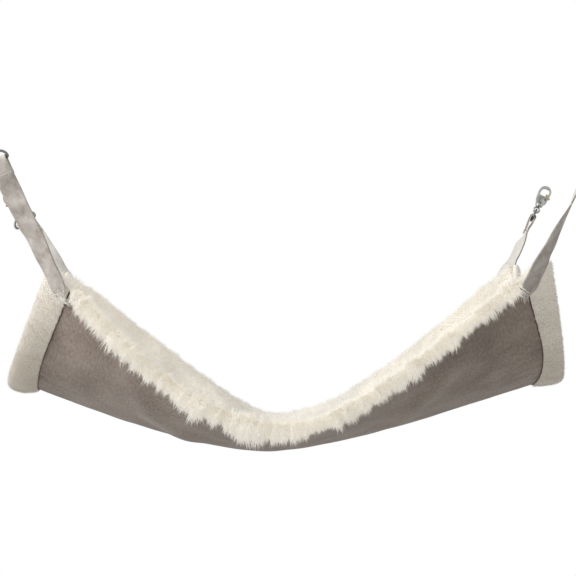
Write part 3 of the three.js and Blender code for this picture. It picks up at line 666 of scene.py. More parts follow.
def axes_at(corner):
    """The hinge, the bar and the directions of a corner's strap, and its turn on the way up."""
    swing, ring, clip = (joints[f"{corner}_{part}"] for part in
                         ("strap_swing", "ring_swing", "clip_spin"))
    hinge, bar, spin = (np.array(joint["pos_m"]) for joint in (swing, ring, clip))
    x, bar_x, z = (unit(np.array(joint["axis"])) for joint in (swing, ring, clip))
    y = np.cross(z, x)
    return {"hinge": hinge, "bar": bar, "spin": spin, "x": x, "y": y, "z": z, "bar_x": bar_x,
            "length": (bar - hinge) @ z, "twist": math.atan2(bar_x @ y, bar_x @ x)}


AXES = {corner: axes_at(corner) for corner in CORNERS}
print("strap lengths", [round(axes["length"], 4) for axes in AXES.values()])

# %% [markdown]
# No pile can stand under a sewn strap, and a lock that pokes through it would look like a fault. So
# each field of pile is thinned out by how near a place lies to the line that a strap takes over
# the cloth.

# %% Where the straps are sewn down
BARE_WIDTH, BARE_ABOVE_TIP = 0.0105, 0.012
BARE_START, BARE_STEEPNESS = 1.75, 4


def strap_line(corner):
    """The sewn end of a strap on the cloth: its tip, and the direction that it runs up in."""
    side, depth = (-1 if "left" in corner else 1), (-1 if "front" in corner else 1)
    inset = STRAP_INSETS["left" if side < 0 else "right"]
    tip = np.array([side * (HEM_OUTER - inset), depth * HALF_WIDTH])
    z = AXES[corner]["z"]
    run = np.array([z @ on_grid(lengthwise, *tip), z @ on_grid(crosswise, *tip)])
    return tip, run / np.linalg.norm(run)


def clear_of_straps(along, across):
    """One on open cloth, falling to nothing under the straps, where no pile can stand."""
    covered = 0
    for corner in CORNERS:
        tip, run = strap_line(corner)
        ends = tip + run * BARE_ABOVE_TIP, tip - run * STRAP_SEWN
        covered = np.maximum(covered, near_line(along, across, *ends, BARE_WIDTH))
    return np.clip(BARE_START - BARE_STEEPNESS * covered, 0, 1)


print("strap tips on the cloth", [strap_line(corner)[0].round(3).tolist() for corner in CORNERS])

# %% [markdown]
# The fleece has two parts. A closed body, a little uneven, stands for the backing and the packed
# roots of the pile: it fills the space under the tufts, rolls over both long edges, and hangs lower
# in front. Tufts grow from its upper side. Its unevenness and the length of the tufts come from the
# same field, so that the pile is shorter where the body dips and longer where it swells.

# %% The body of the fleece
BODY_ROWS, BODY_COLUMNS, ROLL_STEPS = 180, 110, 7
BODY_HEIGHT, BODY_REACH, TIP_INSET = 0.0050, 0.0040, 0.0040
ROLL_END_SHARE, ROLL_UNEVEN, ROLL_LEAST = 0.25, 0.08, 0.0005
LUMP_HEIGHT, LUMP_SIZE, ROOT_DEPTH = 0.0004, 0.019, 0.0006
INNER_EDGE = HALF_WIDTH + CLEARANCE
FRINGE_PLACES = (-1, -0.8, -0.62, -0.5, -0.3, 0, 0.1, 0.35, 0.6, 0.8, 1)
FRINGE_SHARES = (1.3, 1.0, 1.2, 1.1, 1.1, 1.05, 0.9, 0.8, 0.8, 0.9, 1.1)


def lumps(along, across):
    return (0.6 * ripple(along, across, LUMP_SIZE, 21)
            + 0.4 * ripple(along, across, LUMP_SIZE / 2.2, 22))


def fringe_share(along, side):
    """How long the pile hangs over an edge: the front edge was combed unevenly."""
    return 1.0 if side > 0 else np.interp(along / HALF_LENGTH, FRINGE_PLACES, FRINGE_SHARES)


def pile_share(along):
    """One along the free edges, falling to nothing where the hems begin."""
    return smooth_step(HEM_SEAM + PILE_PAST - np.abs(along), 0, PILE_START)


def body_top(along, across):
    return LINING_BASE + BODY_HEIGHT + LUMP_HEIGHT * lumps(along, across) * np.ones_like(along)


def edge_roll(along, side, turn, sink=0.0):
    """Places round the rolled edge: turn is 90 degrees on top, 0 outermost, -90 below."""
    free, uneven = pile_share(along), lumps(along, side * HALF_WIDTH)
    drop = free * (FRONT_PILE_DROP if side < 0 else BACK_PILE_DROP) * fringe_share(along, side)
    tip = SHELL_THICKNESS / 2 - drop + TIP_INSET * free
    top = body_top(along, side * HALF_WIDTH)
    angle = np.radians(turn)
    reach = BODY_REACH * mix(ROLL_END_SHARE, 1, free) * (1 + ROLL_UNEVEN * uneven)
    across = side * (INNER_EDGE + np.maximum(reach - sink, ROLL_LEAST) * np.cos(angle))
    height = (top + tip) / 2 + ((top - tip) / 2 - sink) * np.sin(angle)
    return across, height


def chain(front_roll, middle, back_roll):
    """Joins places across the bed, given as pairs of across and height, to one row of points."""
    parts = [front_roll, middle, [part[:, ::-1] for part in back_roll]]
    return [np.concatenate([part[n] * ones for part in parts], axis=1) for n in (0, 1)]


body_rows = np.linspace(-HALF_LENGTH, HALF_LENGTH, BODY_ROWS)[:, None]
body_columns = np.linspace(-HALF_WIDTH, HALF_WIDTH, BODY_COLUMNS)[None, :]
under_columns = np.linspace(-INNER_EDGE, INNER_EDGE, BODY_COLUMNS)[None, :]
roll_turns = np.linspace(8, 90, ROLL_STEPS)[None, :]
ones = np.ones_like(body_rows)
upper = chain(edge_roll(body_rows, -1, roll_turns),
              (body_columns, body_top(body_rows, body_columns)),
              edge_roll(body_rows, 1, roll_turns))
lower = chain(edge_roll(body_rows, -1, -roll_turns),
              (under_columns, LINING_BASE + 0 * under_columns),
              edge_roll(body_rows, 1, -roll_turns))
body_rings = there_and_back(on_cloth(body_rows, *lower), on_cloth(body_rows, *upper))
lining = skin("fleece_body", body_rings, FLEECE, "bed")
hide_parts("fleece_lining")
print("fleece body", len(lining.data.polygons), "faces")

# %% [markdown]
# A tuft is a lock of fibres: a thin three-sided blade that narrows and bends over. A Geometry Nodes
# tree scatters such locks over a carrier surface. The carrier says, point by point, which way the
# pile lies, which way it bends, and how long it is. The tree adds a little chance to each lock. The
# instances are then made real, because the finished bed has to be plain meshes.

# %% A lock of pile and the tree that scatters it
LOCK_TAPER, LOCK_BELLY, LOCK_FLATNESS, SWAY_CHANCE = 1.6, 0.25, 1.5, 0.7


def lock(name, levels, width, bend):
    """A unit blade along Z: levels are the heights of its rings, and its tip is at one."""
    rings, tips = [], []
    for level in levels:
        size = width * (1 - level ** LOCK_TAPER) * (1 + LOCK_BELLY * math.sin(level * math.pi))
        for n in range(3):
            turn = n * math.tau / 3
            x, y = bend * level ** 2 + size * math.cos(turn), LOCK_FLATNESS * size * math.sin(turn)
            rings.append((x, y, level))
            tips.append(level)
    rings.append((bend, 0, 1))
    tips.append(1)
    faces = [(2, 1, 0)]
    for k in range(0, 3 * len(levels) - 3, 3):
        faces += [(k + n, k + (n + 1) % 3, k + 3 + (n + 1) % 3, k + 3 + n) for n in range(3)]
    last = 3 * (len(levels) - 1)
    faces += [(last + n, last + (n + 1) % 3, last + 3) for n in range(3)]
    mesh = bpy.data.meshes.new(name)
    mesh.from_pydata(rings, [], faces)
    mesh.shade_smooth()
    mesh.attributes.new("tip", "FLOAT", "POINT").data.foreach_set("value", tips)
    return bpy.data.objects.new(name, mesh)


class Tree(Nodes):
    """A Geometry Nodes tree with named inputs, each named with _ for a space."""

    def __init__(self, name, **inputs):
        super().__init__(bpy.data.node_groups.new(name, "GeometryNodeTree"))
        self.tree.is_modifier = True
        self.sockets = {}
        sockets = self.tree.interface
        for label, kind in {"Geometry": "Geometry", **inputs}.items():
            socket = sockets.new_socket(name=label.replace("_", " "), in_out="INPUT",
                                        socket_type="NodeSocket" + kind)
            self.sockets[label] = socket.identifier
        sockets.new_socket(name="Geometry", in_out="OUTPUT", socket_type="NodeSocketGeometry")
        self.given = self.node("NodeGroupInput")

    def read(self, label):
        return self.given.also(label.replace("_", " "))

    def carried(self, name, kind):
        """What the carrier says at a point."""
        return self.node("GeometryNodeInputNamedAttribute", {"data_type": kind}, {"Name": name})

    def model(self, label):
        """The mesh of an object that is given as an input."""
        settings, inputs = {"transform_space": "ORIGINAL"}, {"Object": self.read(label)}
        return self.node("GeometryNodeObjectInfo", settings, inputs, "Geometry")

    def finish(self, instances):
        real = self.node("GeometryNodeRealizeInstances", {}, {"Geometry": instances})
        look = {"Geometry": real, "Material": self.read("Finish")}
        painted = self.node("GeometryNodeSetMaterial", {}, look)
        self.node("NodeGroupOutput", {}, {0: painted}, None)

    def grow(self, name, carrier, finish, slot, body, **values):
        """Runs the tree on a carrier and keeps the result as a plain mesh on a body."""
        modifier = carrier.modifiers.new(name, "NODES")
        modifier.node_group = self.tree
        for label, value in {**values, "Finish": finish}.items():
            modifier[self.sockets[label]] = value
        graph = bpy.context.evaluated_depsgraph_get()
        mesh = bpy.data.meshes.new_from_object(carrier.evaluated_get(graph), depsgraph=graph)
        carrier.modifiers.remove(modifier)
        bpy.data.objects.remove(carrier)
        mesh.name = name
        made = in_scene(name, mesh)
        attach(made, body)
        print(name, len(mesh.polygons), "faces")
        return made


def scatter_tree():
    tree = Tree("Scatter locks of pile", Lock="Object", Locks_per_square_metre="Float",
                Spread="Float", Shortest="Float", Seed="Int", Finish="Material")
    seed = tree.read("Seed")

    def chance(kind, low, high, more_seed, output):
        inputs = {"Min": low, "Max": high, "Seed": seed + more_seed}
        return tree.node("FunctionNodeRandomValue", {"data_type": kind}, inputs, output)

    def vectors(operation, inputs):
        return tree.node("ShaderNodeVectorMath", {"operation": operation}, inputs)

    density = tree.read("Locks_per_square_metre") * tree.carried("crowd", "FLOAT")
    points = tree.node("GeometryNodeDistributePointsOnFaces", {"distribute_method": "RANDOM"}, {
        "Mesh": tree.read("Geometry"), "Density": density, "Seed": seed}, "Points")
    stray = vectors("SCALE", {0: chance("FLOAT_VECTOR", (-1,) * 3, (1,) * 3, 1, 0),
                              "Scale": tree.read("Spread")})
    swung = chance("FLOAT_VECTOR", (-SWAY_CHANCE,) * 3, (SWAY_CHANCE,) * 3, 2, 0)
    lay = vectors("ADD", {0: tree.carried("lay", "FLOAT_VECTOR"), 1: stray})
    sway = vectors("ADD", {0: tree.carried("sway", "FLOAT_VECTOR"), 1: swung})
    upright = tree.node("FunctionNodeAlignRotationToVector", {"axis": "Z"}, {"Vector": lay})
    turned = tree.node("FunctionNodeAlignRotationToVector", {"axis": "X", "pivot_axis": "Z"}, {
        "Rotation": upright, "Vector": sway})
    shortened = chance("FLOAT", tree.read("Shortest"), 1.0, 3, 1)
    length = tree.carried("length", "FLOAT") * shortened
    tree.finish(tree.node("GeometryNodeInstanceOnPoints", {}, {
        "Points": points, "Instance": tree.model("Lock"), "Rotation": turned, "Scale": length}))
    return tree


SCATTER = scatter_tree()
SHORT_LOCK = lock("short_lock", (0,), 0.062, 0.2)
LONG_LOCK = lock("long_lock", (0, 0.5), 0.023, 0.3)
FINE_LOCK = lock("fine_lock", (0,), 0.12, 0.2)
print("scatter tree with", len(SCATTER.tree.nodes), "nodes")

# %% [markdown]
# A carrier is an open grid of points that is never seen itself. Attributes on its points steer the
# locks, and Geometry Nodes reads them between the points too, so a coarse grid is enough. Numbers
# worked out here in Python are easier to follow than the same sums as nodes.


# %% A carrier: a surface that says how its pile lies
def carrier(places, **fields):
    """A grid of places in space, with lay and sway as vectors and length and crowd as numbers."""
    count = places.shape[:2]
    k, n = np.arange(count[0] - 1)[:, None] * count[1], np.arange(count[1] - 1)[None, :]
    faces = np.stack([k + n, k + n + 1, k + n + 1 + count[1], k + n + count[1]], axis=-1)
    mesh = bpy.data.meshes.new("carrier")
    mesh.from_pydata(places.reshape(-1, 3).tolist(), [], faces.reshape(-1, 4).tolist())
    for name, field in fields.items():
        kind, key, shape = (("FLOAT_VECTOR", "vector", (*count, 3)) if name in ("lay", "sway")
                            else ("FLOAT", "value", count))
        values = np.ascontiguousarray(np.broadcast_to(field, shape), np.float32)
        mesh.attributes.new(name, kind, "POINT").data.foreach_set(key, values.ravel())
    return in_scene("carrier", mesh)


print("each carrier says lay, sway, length and crowd at its points")

# %% [markdown]
# On the lying side the pile stands up and leans in soft swirls. The lean comes from two ripple
# fields with a wavelength of about nine centimetres, and a weaker wave of about one centimetre on
# top gathers neighbouring locks. Near the long edges the pile is combed outwards. The lining is
# split in four lengths, so that no mesh grows too large.

# %% The pile of the lying side
PILE_LENGTH, PILE_LEAN, SWIRL_SIZE = 0.0060, 0.2, 0.09
PILE_ROWS, PILE_COLUMNS, PILE_SAG, PILE_UNEVEN = 80, 150, 0.1, 0.08
CLUMP_LEAN, CLUMP_SIZE = 0.08, 0.012
COMB_LEAN, COMB_REACH = 0.7, 0.035
LOCKS_PER_METRE = 660000
DOWN = np.array([0, 0, -1.0])
QUARTERS = (("far_left", -1, -0.5), ("left", -0.5, 0), ("right", 0, 0.5), ("far_right", 0.5, 1))


def swirl(along, across, seed):
    wide = ripple(along, across, SWIRL_SIZE, seed)
    return (wide + CLUMP_LEAN / PILE_LEAN * ripple(along, across, CLUMP_SIZE, seed + 4))[..., None]


for number, (label, start, end) in enumerate(QUARTERS):
    along, across = np.meshgrid(
        np.linspace(start * HALF_LENGTH, end * HALF_LENGTH, PILE_ROWS),
        np.linspace(-HALF_WIDTH, HALF_WIDTH, PILE_COLUMNS), indexing="ij")
    lean = (swirl(along, across, 31) * on_grid(lengthwise, along, across)
            + swirl(along, across, 32) * on_grid(crosswise, along, across))
    comb = np.exp((np.abs(across) - HALF_WIDTH) / COMB_REACH) * np.sign(across) * COMB_LEAN
    lean = PILE_LEAN * lean + comb[..., None] * on_grid(crosswise, along, across)
    surface = carrier(on_cloth(along, across, body_top(along, across) - ROOT_DEPTH),
                      lay=unit(on_grid(inward, along, across) + lean), sway=lean + PILE_SAG * DOWN,
                      length=PILE_LENGTH * (1 + PILE_UNEVEN * lumps(along, across)), crowd=1.0)
    SCATTER.grow(f"pile_{label}", surface, FLEECE, "fleece", "bed", Lock=SHORT_LOCK,
                              Locks_per_square_metre=LOCKS_PER_METRE, Spread=0.2, Shortest=0.75,
                              Seed=number)

# %% [markdown]
# Along the front edge the pile is longer and falls over the edge, combed out and down in locks that
# part and gather, and it ends in a ragged line over the suede. The carrier is the rolled edge of
# the fleece body, from its top to its underside. Each lock starts out square to the roll, pulled
# down by its weight and aside by a field with a short wavelength, which makes the points. The back
# edge has a shorter and smoother fringe of the same kind.

# %% The fringe of pile along the long edges
FRINGE_LENGTH, BACK_FRINGE_LENGTH = 0.0130, 0.0060
FRINGE_ROWS, FRINGE_TURNS, FRINGE_BEND = 240, 14, 0.3
POINT_SIZE, POINT_DRIFT_SIZE, RAGGED_SIZE, RAGGED_DRIFT_SIZE = 0.006, 0.05, 0.009, 0.03
SHORT_ABOVE, BELOW_START, BELOW_RANGE = 0.7, 40, 90


def fringe(name, side, start, end, turns, longest, weight, rough, locks, seed):
    along = np.linspace(start, end, FRINGE_ROWS)[:, None] * (HEM_SEAM + PILE_PAST)
    turn = np.linspace(*turns, FRINGE_TURNS)[None, :]
    across, height = edge_roll(along, side, turn, ROOT_DEPTH)
    along = along + 0 * turn
    outward = np.cos(np.radians(turn))[..., None] * side * on_grid(crosswise, along, across)
    outward = outward + np.sin(np.radians(turn))[..., None] * on_grid(inward, along, across)
    aside = rough * (0.8 * ripple(along, across, POINT_SIZE, 40)
                     + ripple(along, across, POINT_DRIFT_SIZE, 41))
    ragged = (0.8 * ripple(along, 0 * along, RAGGED_SIZE, 42)
              + ripple(along, across, RAGGED_DRIFT_SIZE, 43))
    below = np.clip((BELOW_START - turn) / BELOW_RANGE, 0, 1)
    length = longest * mix(SHORT_ABOVE, 1, below) * np.clip(1 + rough * ragged, 0.5, 1.5)
    surface = carrier(
        on_cloth(along, across, height),
        lay=unit(outward + weight * DOWN + aside[..., None] * on_grid(lengthwise, along, across)),
        sway=outward * FRINGE_BEND + DOWN, length=length * fringe_share(along, side),
        crowd=clear_of_straps(along, across))
    return SCATTER.grow(name, surface, FLEECE, "fleece", "bed", Lock=LONG_LOCK,
                        Locks_per_square_metre=locks, Spread=0.22, Shortest=0.35, Seed=seed)


for number, (label, start, end) in enumerate(QUARTERS):
    fringe(f"front_fringe_{label}", -1, start, end, (95, -85), FRINGE_LENGTH,
                        weight=0.55, rough=0.2, locks=5200000, seed=50 + number)
fringe("back_fringe", 1, -1, 1, (95, -75), BACK_FRINGE_LENGTH,
                    weight=0.3, rough=0.05, locks=3000000, seed=60)

# %% [markdown]
# At each end a band of the same plush, with a shorter pile, is turned over the cut edge and sewn
# down on the outside. It is padded by its own pile, so it bulges between its folded edge and the
# seam, and the seam draws it in. Its section is a bean that changes a little from stitch to stitch.
# The left band is fat and the right one is nearly flat, so the swell is a value of each side.

# %% The section of a hem
HEM_RINGS, STITCH_PITCH, SEAM_INSET = 300, 0.0042, -0.0007
HEM_SWELLS, HEM_PILE, HEM_DOME = {-1: 0.0042, 1: 0.0012}, 0.0030, 0.002
HEM_WANDERS, HEM_BULGES = {-1: 0.0035, 1: 0.008}, {-1: 0.0022, 1: -0.0015}
HEM_EDGE, HEM_WAVE_HEIGHT, HEM_PINCH_REACH, HEM_PINCH_SHARE = 0.0006, 0.0005, 0.02, 0.25
HEM_DRIFT_SIZE, HEM_SWELL_DRIFT, HEM_SWELL_SIZE = 0.05, 0.2, 0.035
HEM_FACE_STEPS, HEM_END_STEPS = 14, 10


def hem_seam(across, side):
    """Where the hem is sewn down: it wanders nearer the end half way down each side."""
    share = np.clip(np.abs(across) / HALF_WIDTH, 0, 1)
    return HEM_SEAM + HEM_WANDERS[side] * np.sin(math.pi * share) ** 2


def hem_section(across, side):
    """The outline of a hem as pairs of along and height, for each place across the bed."""
    drift = ripple(across, 0, HEM_DRIFT_SIZE, 71 + side)
    stitch_wave = np.cos(across * math.tau / (3 * STITCH_PITCH) + drift)
    low = 1 - (across / HALF_WIDTH) ** 2
    uneven = 1 + HEM_SWELL_DRIFT * ripple(across, 0, HEM_SWELL_SIZE, 73 + side)
    swell = HEM_SWELLS[side] * low * uneven
    run = np.linspace(0, 1, HEM_FACE_STEPS)[None, :]
    face_along = mix(hem_seam(across, side), HEM_INNER, run)
    thickness = (mix(HEM_EDGE, HEM_THICKNESS, 1 - (1 - run) ** 2)
                 + swell * np.sin(run * math.pi * 0.64))
    face_height = -CLEARANCE - thickness + HEM_WAVE_HEIGHT * (1 - run) ** 3 * stitch_wave
    turn = np.radians(np.linspace(-80, 68, HEM_END_STEPS))[None, :]
    pinch = np.clip((HALF_WIDTH - np.abs(across)) / HEM_PINCH_REACH, 0, 1)
    bottom, top = face_height[:, -1:], LINING_TOP * mix(HEM_PINCH_SHARE, 1, pinch)
    end_along = HEM_INNER + (HEM_THICKNESS + HEM_BULGES[side] * low) * np.cos(turn) ** 0.8
    end_height = (top + bottom) / 2 + (top - bottom) / 2 * np.sin(turn) * 0.97
    back_along = np.array([HEM_INNER, HEM_INNER, mix(HEM_SEAM, HEM_INNER, 0.5)])[None, :]
    back_along = np.concatenate([back_along + 0 * across, hem_seam(across, side)], axis=1)
    back_height = np.concatenate([top, np.full((len(across), 3), -CLEARANCE)], axis=1)
    parts = [(face_along, face_height), (end_along, end_height), (back_along, back_height)]
    return [np.concatenate([part[n] + 0 * across for part in parts], axis=1) for n in (0, 1)]


seam_places = [round(float(hem_seam(HALF_WIDTH / 2, side)), 4) for side, _ in SIDES]
print("half way up each side, the hem seams lie at", seam_places)

# %% [markdown]
# The band's two ends are closed by a few smaller and smaller sections, so that each ends in a
# rounded roll. Its fuzz grows only where it can be seen, on the face and round the fold, and not
# under the straps.

# %% The hems at the two ends
HEM_SHOWN, HEM_UNDER_STRAP, HEM_ROOT_DEPTH = HEM_FACE_STEPS + HEM_END_STEPS - 1, 17, 0.0004
HEM_SAG, HEM_NAP, HEM_NAP_SIZE, HEM_LOCKS_PER_METRE = 0.35, 0.3, 0.025, 1200000
end_turns = np.radians(np.linspace(15, 88, 6))
past_edge = HALF_WIDTH + HEM_DOME * np.sin(end_turns)
hem_across = np.linspace(-HALF_WIDTH, HALF_WIDTH, HEM_RINGS)
hem_across = np.concatenate([-past_edge[::-1], hem_across, past_edge])[:, None]
hem_size = np.concatenate([np.cos(end_turns[::-1]), np.ones(HEM_RINGS), np.cos(end_turns)])[:, None]
hems = []
for side, label in SIDES:
    section = hem_section(np.clip(hem_across, -HALF_WIDTH, HALF_WIDTH), side)
    along, height = (mix(line.mean(axis=1, keepdims=True), line, hem_size) for line in section)
    rings = on_cloth(side * along, hem_across, height)
    hem = skin(f"{label}_hem_band", rings, HEM_FLEECE, "bed")
    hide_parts(f"{label}_hem")

    places = rings[:, :HEM_SHOWN]
    u, v = side * along[:, :HEM_SHOWN], (hem_across + 0 * along)[:, :HEM_SHOWN]
    around = unit(np.roll(rings, -1, axis=1) - np.roll(rings, 1, axis=1))[:, :HEM_SHOWN]
    outward = unit(np.cross(around, on_grid(crosswise, u, v))) * side
    from_middle = places - rings.mean(axis=1, keepdims=True)
    outward *= np.sign(np.sum(outward * from_middle, axis=-1).mean())
    nap = ripple(u, v, HEM_NAP_SIZE, 75)[..., None]
    open_cloth = clear_of_straps(u, v)
    open_cloth[:, HEM_UNDER_STRAP:] = 1
    surface = carrier(places - HEM_ROOT_DEPTH * outward, crowd=open_cloth, length=HEM_PILE,
                      lay=unit(outward + HEM_SAG * DOWN + HEM_NAP * nap * on_grid(crosswise, u, v)),
                      sway=DOWN)
    fuzz = SCATTER.grow(f"{label}_hem_pile", surface, HEM_FLEECE, "fleece", "bed", Lock=FINE_LOCK,
                        Locks_per_square_metre=HEM_LOCKS_PER_METRE, Spread=0.6, Shortest=0.5,
                        Seed=80 + side)
    hems += [hem, fuzz]
print("hems", [made.name for made in hems])

# %% [markdown]
# A layer of a strap follows two lines that meet at the hinge. The first lies on the outside of the
# corner and is gathered to half its width at its cut end. The second is drawn in the strap's own
# plane: straight up, round the bar of the ring, and down to the cross seam.

# %% A strap's line and its layers
PATH_START, PATH_STEP, SEAM_TAIL = -0.011, 0.0015, 0.0012
TAPER_STEPS, TAPER_END, FOLD_STEPS, SEWN_STEPS = 9, 0.92, 19, 9
SEWN_END_SHARE, GATHER_START_SHARE = 0.15, 0.3


def strap_path(length, offset):
    """The line of one layer in the strap's own plane: up, round the bar, and down to the seam."""
    radius = RING_WIRE / 2 + CLEARANCE + (offset - CLEARANCE / 2)
    tilt = math.asin((RING_WIRE / 2 + CLEARANCE / 2) / STRAP_FOLD)
    seam = length - STRAP_FOLD
    up = [(offset, z) for z in np.arange(PATH_START, seam, PATH_STEP)]
    taper = [(mix(offset, radius * math.cos(tilt), smooth_step(share, 0, 1)),
              mix(seam, length - radius * math.sin(tilt), share))
             for share in np.linspace(0, TAPER_END, TAPER_STEPS)]
    fold = [(radius * math.cos(a), length + radius * math.sin(a))
            for a in np.linspace(-tilt, math.pi + tilt, FOLD_STEPS)]
    down = [(-y, z) for y, z in reversed(taper)]
    tail = [(-offset, seam - SEAM_TAIL), (-offset, seam - 2 * SEAM_TAIL)]
    return np.array(up + taper + fold + down + tail)


def sewn_path(corner, axes, offset):
    """The part of a layer that lies on the outside of its corner, from its cut end to the hinge."""
    tip, run = strap_line(corner)
    stations = []
    for distance in np.linspace(STRAP_SEWN, SEWN_END_SHARE * STRAP_SEWN, SEWN_STEPS):
        along, across = tip - run * distance
        normal = -on_grid(inward, along, across)
        middle = on_cloth(along, across, STRAP_MIDDLE)[0] + normal * offset
        wide = unit(axes["x"] - normal * (axes["x"] @ normal))
        gather = smooth_step(distance, GATHER_START_SHARE * STRAP_SEWN, STRAP_SEWN)
        stations.append((middle, wide, normal, mix(1, STRAP_END_SHARE, gather)))
    return stations


steps = len(strap_path(AXES["front_left"]["length"], 0))
print("the free line of a layer has", steps, "steps")

# %% [markdown]
# The ribbon's section is a flat bar with round edges. The layers share one gentle unevenness, so
# they stay a hair apart everywhere. The sewn part and the free part meet in a smooth curve through
# the hinge. Each strap turns between its hinge and its bar, some of it early and the rest further
# up, as its corner in the photograph shows.

# %% The ribbons of the straps
EDGE_TURNS = np.radians(np.linspace(-90, 90, 5))
RIBS = np.linspace(-1, 1, 9)
WAVE_HEIGHTS = dict(zip(CORNERS, (0.0008, 0.0003, 0.0004, 0.0002)))
EARLY_TWISTS = dict(zip(CORNERS, (0.2, 0.2, 0.4, 0.5)))
LATE_STARTS = dict(zip(CORNERS, (0, 0, 0.3, 0.65)))
WAVE_SIZE, WAVE_START, WAVE_FULL, WAVE_FADE, WAVE_END = 0.03, 0.004, 0.02, 0.01, 0.002
EARLY_TWIST_REACH, HINGE_REACH = 0.016, 0.004
SMOOTHINGS, FIRST_SMOOTHED, LAST_SMOOTHED = 6, 5, 14


def ribbon_ring(middle, wide, normal, share, thickness):
    """The outline of a ribbon at one place: each face and the round edge that follows it."""
    half, deep = STRAP_WIDTH / 2 * share - thickness / 2, thickness / 2
    ring, measure = [], []
    for sign in (1, -1):
        for u in RIBS[1:-1] * sign:
            ring.append(middle + wide * half * u - normal * deep * sign)
            measure.append(half * u)
        for a in EDGE_TURNS:
            round_edge = wide * sign * (half + deep * math.cos(a))
            ring.append(middle + round_edge + normal * deep * math.sin(a) * sign)
            measure.append(sign * half)
    return ring, measure


def free_path(corner, axes, offset):
    """The part of a layer past the hinge, turning on its way up."""
    stations = []
    origin = axes["hinge"] - axes["y"] * (CLEARANCE + STRAP_THICKNESS) / 2
    seam = axes["length"] - STRAP_FOLD
    path = strap_path(axes["length"], offset)
    slopes = np.gradient(path, axis=0)
    for (y, z), (dy, dz) in zip(path, slopes / np.linalg.norm(slopes, axis=1, keepdims=True)):
        late = smooth_step(z, LATE_STARTS[corner] * seam, seam)
        early = smooth_step(z, 0, EARLY_TWIST_REACH)
        turn = axes["twist"] * mix(late, early, EARLY_TWISTS[corner])
        c, s = math.cos(turn), math.sin(turn)
        wide, flat = axes["x"] * c + axes["y"] * s, axes["y"] * c - axes["x"] * s
        wave = WAVE_HEIGHTS[corner] * ripple(z, 0, WAVE_SIZE, 90 + CORNERS.index(corner))
        wave *= smooth_step(z, WAVE_START, WAVE_FULL)
        wave *= 1 - smooth_step(z, seam - WAVE_FADE, seam - WAVE_END)
        middle = origin + flat * (y + wave) + axes["z"] * z
        stations.append((middle, wide, flat * dz - axes["z"] * dy, 1))
    return stations


def strap_layer(corner, name, offset, finish):
    axes = AXES[corner]
    stations = sewn_path(corner, axes, offset - (CLEARANCE + STRAP_THICKNESS) / 2)
    stations += free_path(corner, axes, offset)
    middles = np.array([station[0] for station in stations])
    first, last = FIRST_SMOOTHED, LAST_SMOOTHED
    for _ in range(SMOOTHINGS):
        middles[first:last] = (middles[first - 1:last - 1] + 2 * middles[first:last]
                               + middles[first + 1:last + 1]) / 4
    rings, cloth = [], []
    for middle, (_, wide, normal, share), gone in zip(middles, stations, travelled(middles)):
        ring, measure = ribbon_ring(middle, wide, unit(normal), share, STRAP_LAYER)
        rings.append(ring)
        cloth += [(across, gone) for across in measure]
    made = skin(f"{corner}_{name}", rings, finish, None, np.array(cloth))
    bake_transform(made)
    return made


straps = []
inner_offset = CLEARANCE / 2 + STRAP_LAYER / 2
outer_offset = CLEARANCE / 2 + STRAP_LAYER + CLEARANCE + STRAP_LAYER / 2
for corner in CORNERS:
    outer = strap_layer(corner, "strap_face", outer_offset, STRAP_SUEDE)
    inner = strap_layer(corner, "strap_back", inner_offset, STRAP_BACKING)
    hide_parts(f"{corner}_strap", f"{corner}_strap_end")
    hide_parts(f"{corner}_strap_lining")
    straps += [outer, inner]
print("strap layers", len(straps))

# %% [markdown]
# Each ring, eye and clip is turned or cast metal a few millimetres thick. The same meshes serve all
# four corners, so each is made once in its own place and then moved by the matrix of its corner.
# Round wire is a skin through circles that follow a line.


# %% Round wire and turned pieces
def circle_rings(line, radius, sides, joined, up):
    """Circles of a wire's radius round a line of points, square to it."""
    line = np.asarray(line, float)
    around = np.roll(line, -1, axis=0) - np.roll(line, 1, axis=0)
    run = unit(around if joined else np.gradient(line, axis=0))
    first = unit(np.cross(run, up))
    second = np.cross(run, first)
    turns = np.arange(sides) * math.tau / sides
    return (line[:, None] + radius * (np.cos(turns)[None, :, None] * first[:, None]
                                      + np.sin(turns)[None, :, None] * second[:, None]))


def turned_rings(profile, sides=28):
    """Circles round the Z axis, from pairs of radius and height."""
    turns = np.arange(sides) * math.tau / sides
    return [[(radius * math.cos(a), radius * math.sin(a), z) for a in turns]
            for radius, z in profile]


def arc(centre, radii, start, end, steps):
    turns = np.radians(np.linspace(start, end, steps))
    return [(centre[0] + radii[0] * math.cos(a), centre[1] + radii[1] * math.sin(a)) for a in turns]


def bend(start, pull, end, steps=10):
    """A curve from start to end that leaves and arrives in the direction of pull."""
    shares = np.linspace(0, 1, steps)[:, None]
    points = ((1 - shares) ** 2 * np.array(start) + 2 * shares * (1 - shares) * np.array(pull)
              + shares ** 2 * np.array(end))
    return [tuple(point) for point in points]


def placed(points, axes, origin, x):
    """Points of a local frame, moved to a corner: Z runs along the strap and X as given."""
    y = np.cross(axes["z"], x)
    return np.asarray(origin) + np.asarray(points) @ np.array([x, y, axes["z"]])


print("a turned piece of 3 heights has", np.size(turned_rings([(1, 0)] * 3)) // 3, "points")

# %% [markdown]
# A D ring is one bent and welded wire: a straight bar in the fold of the strap, two small corners,
# and a flat arch. The line is drawn once from arcs, and its bar lies on the joint's axis.

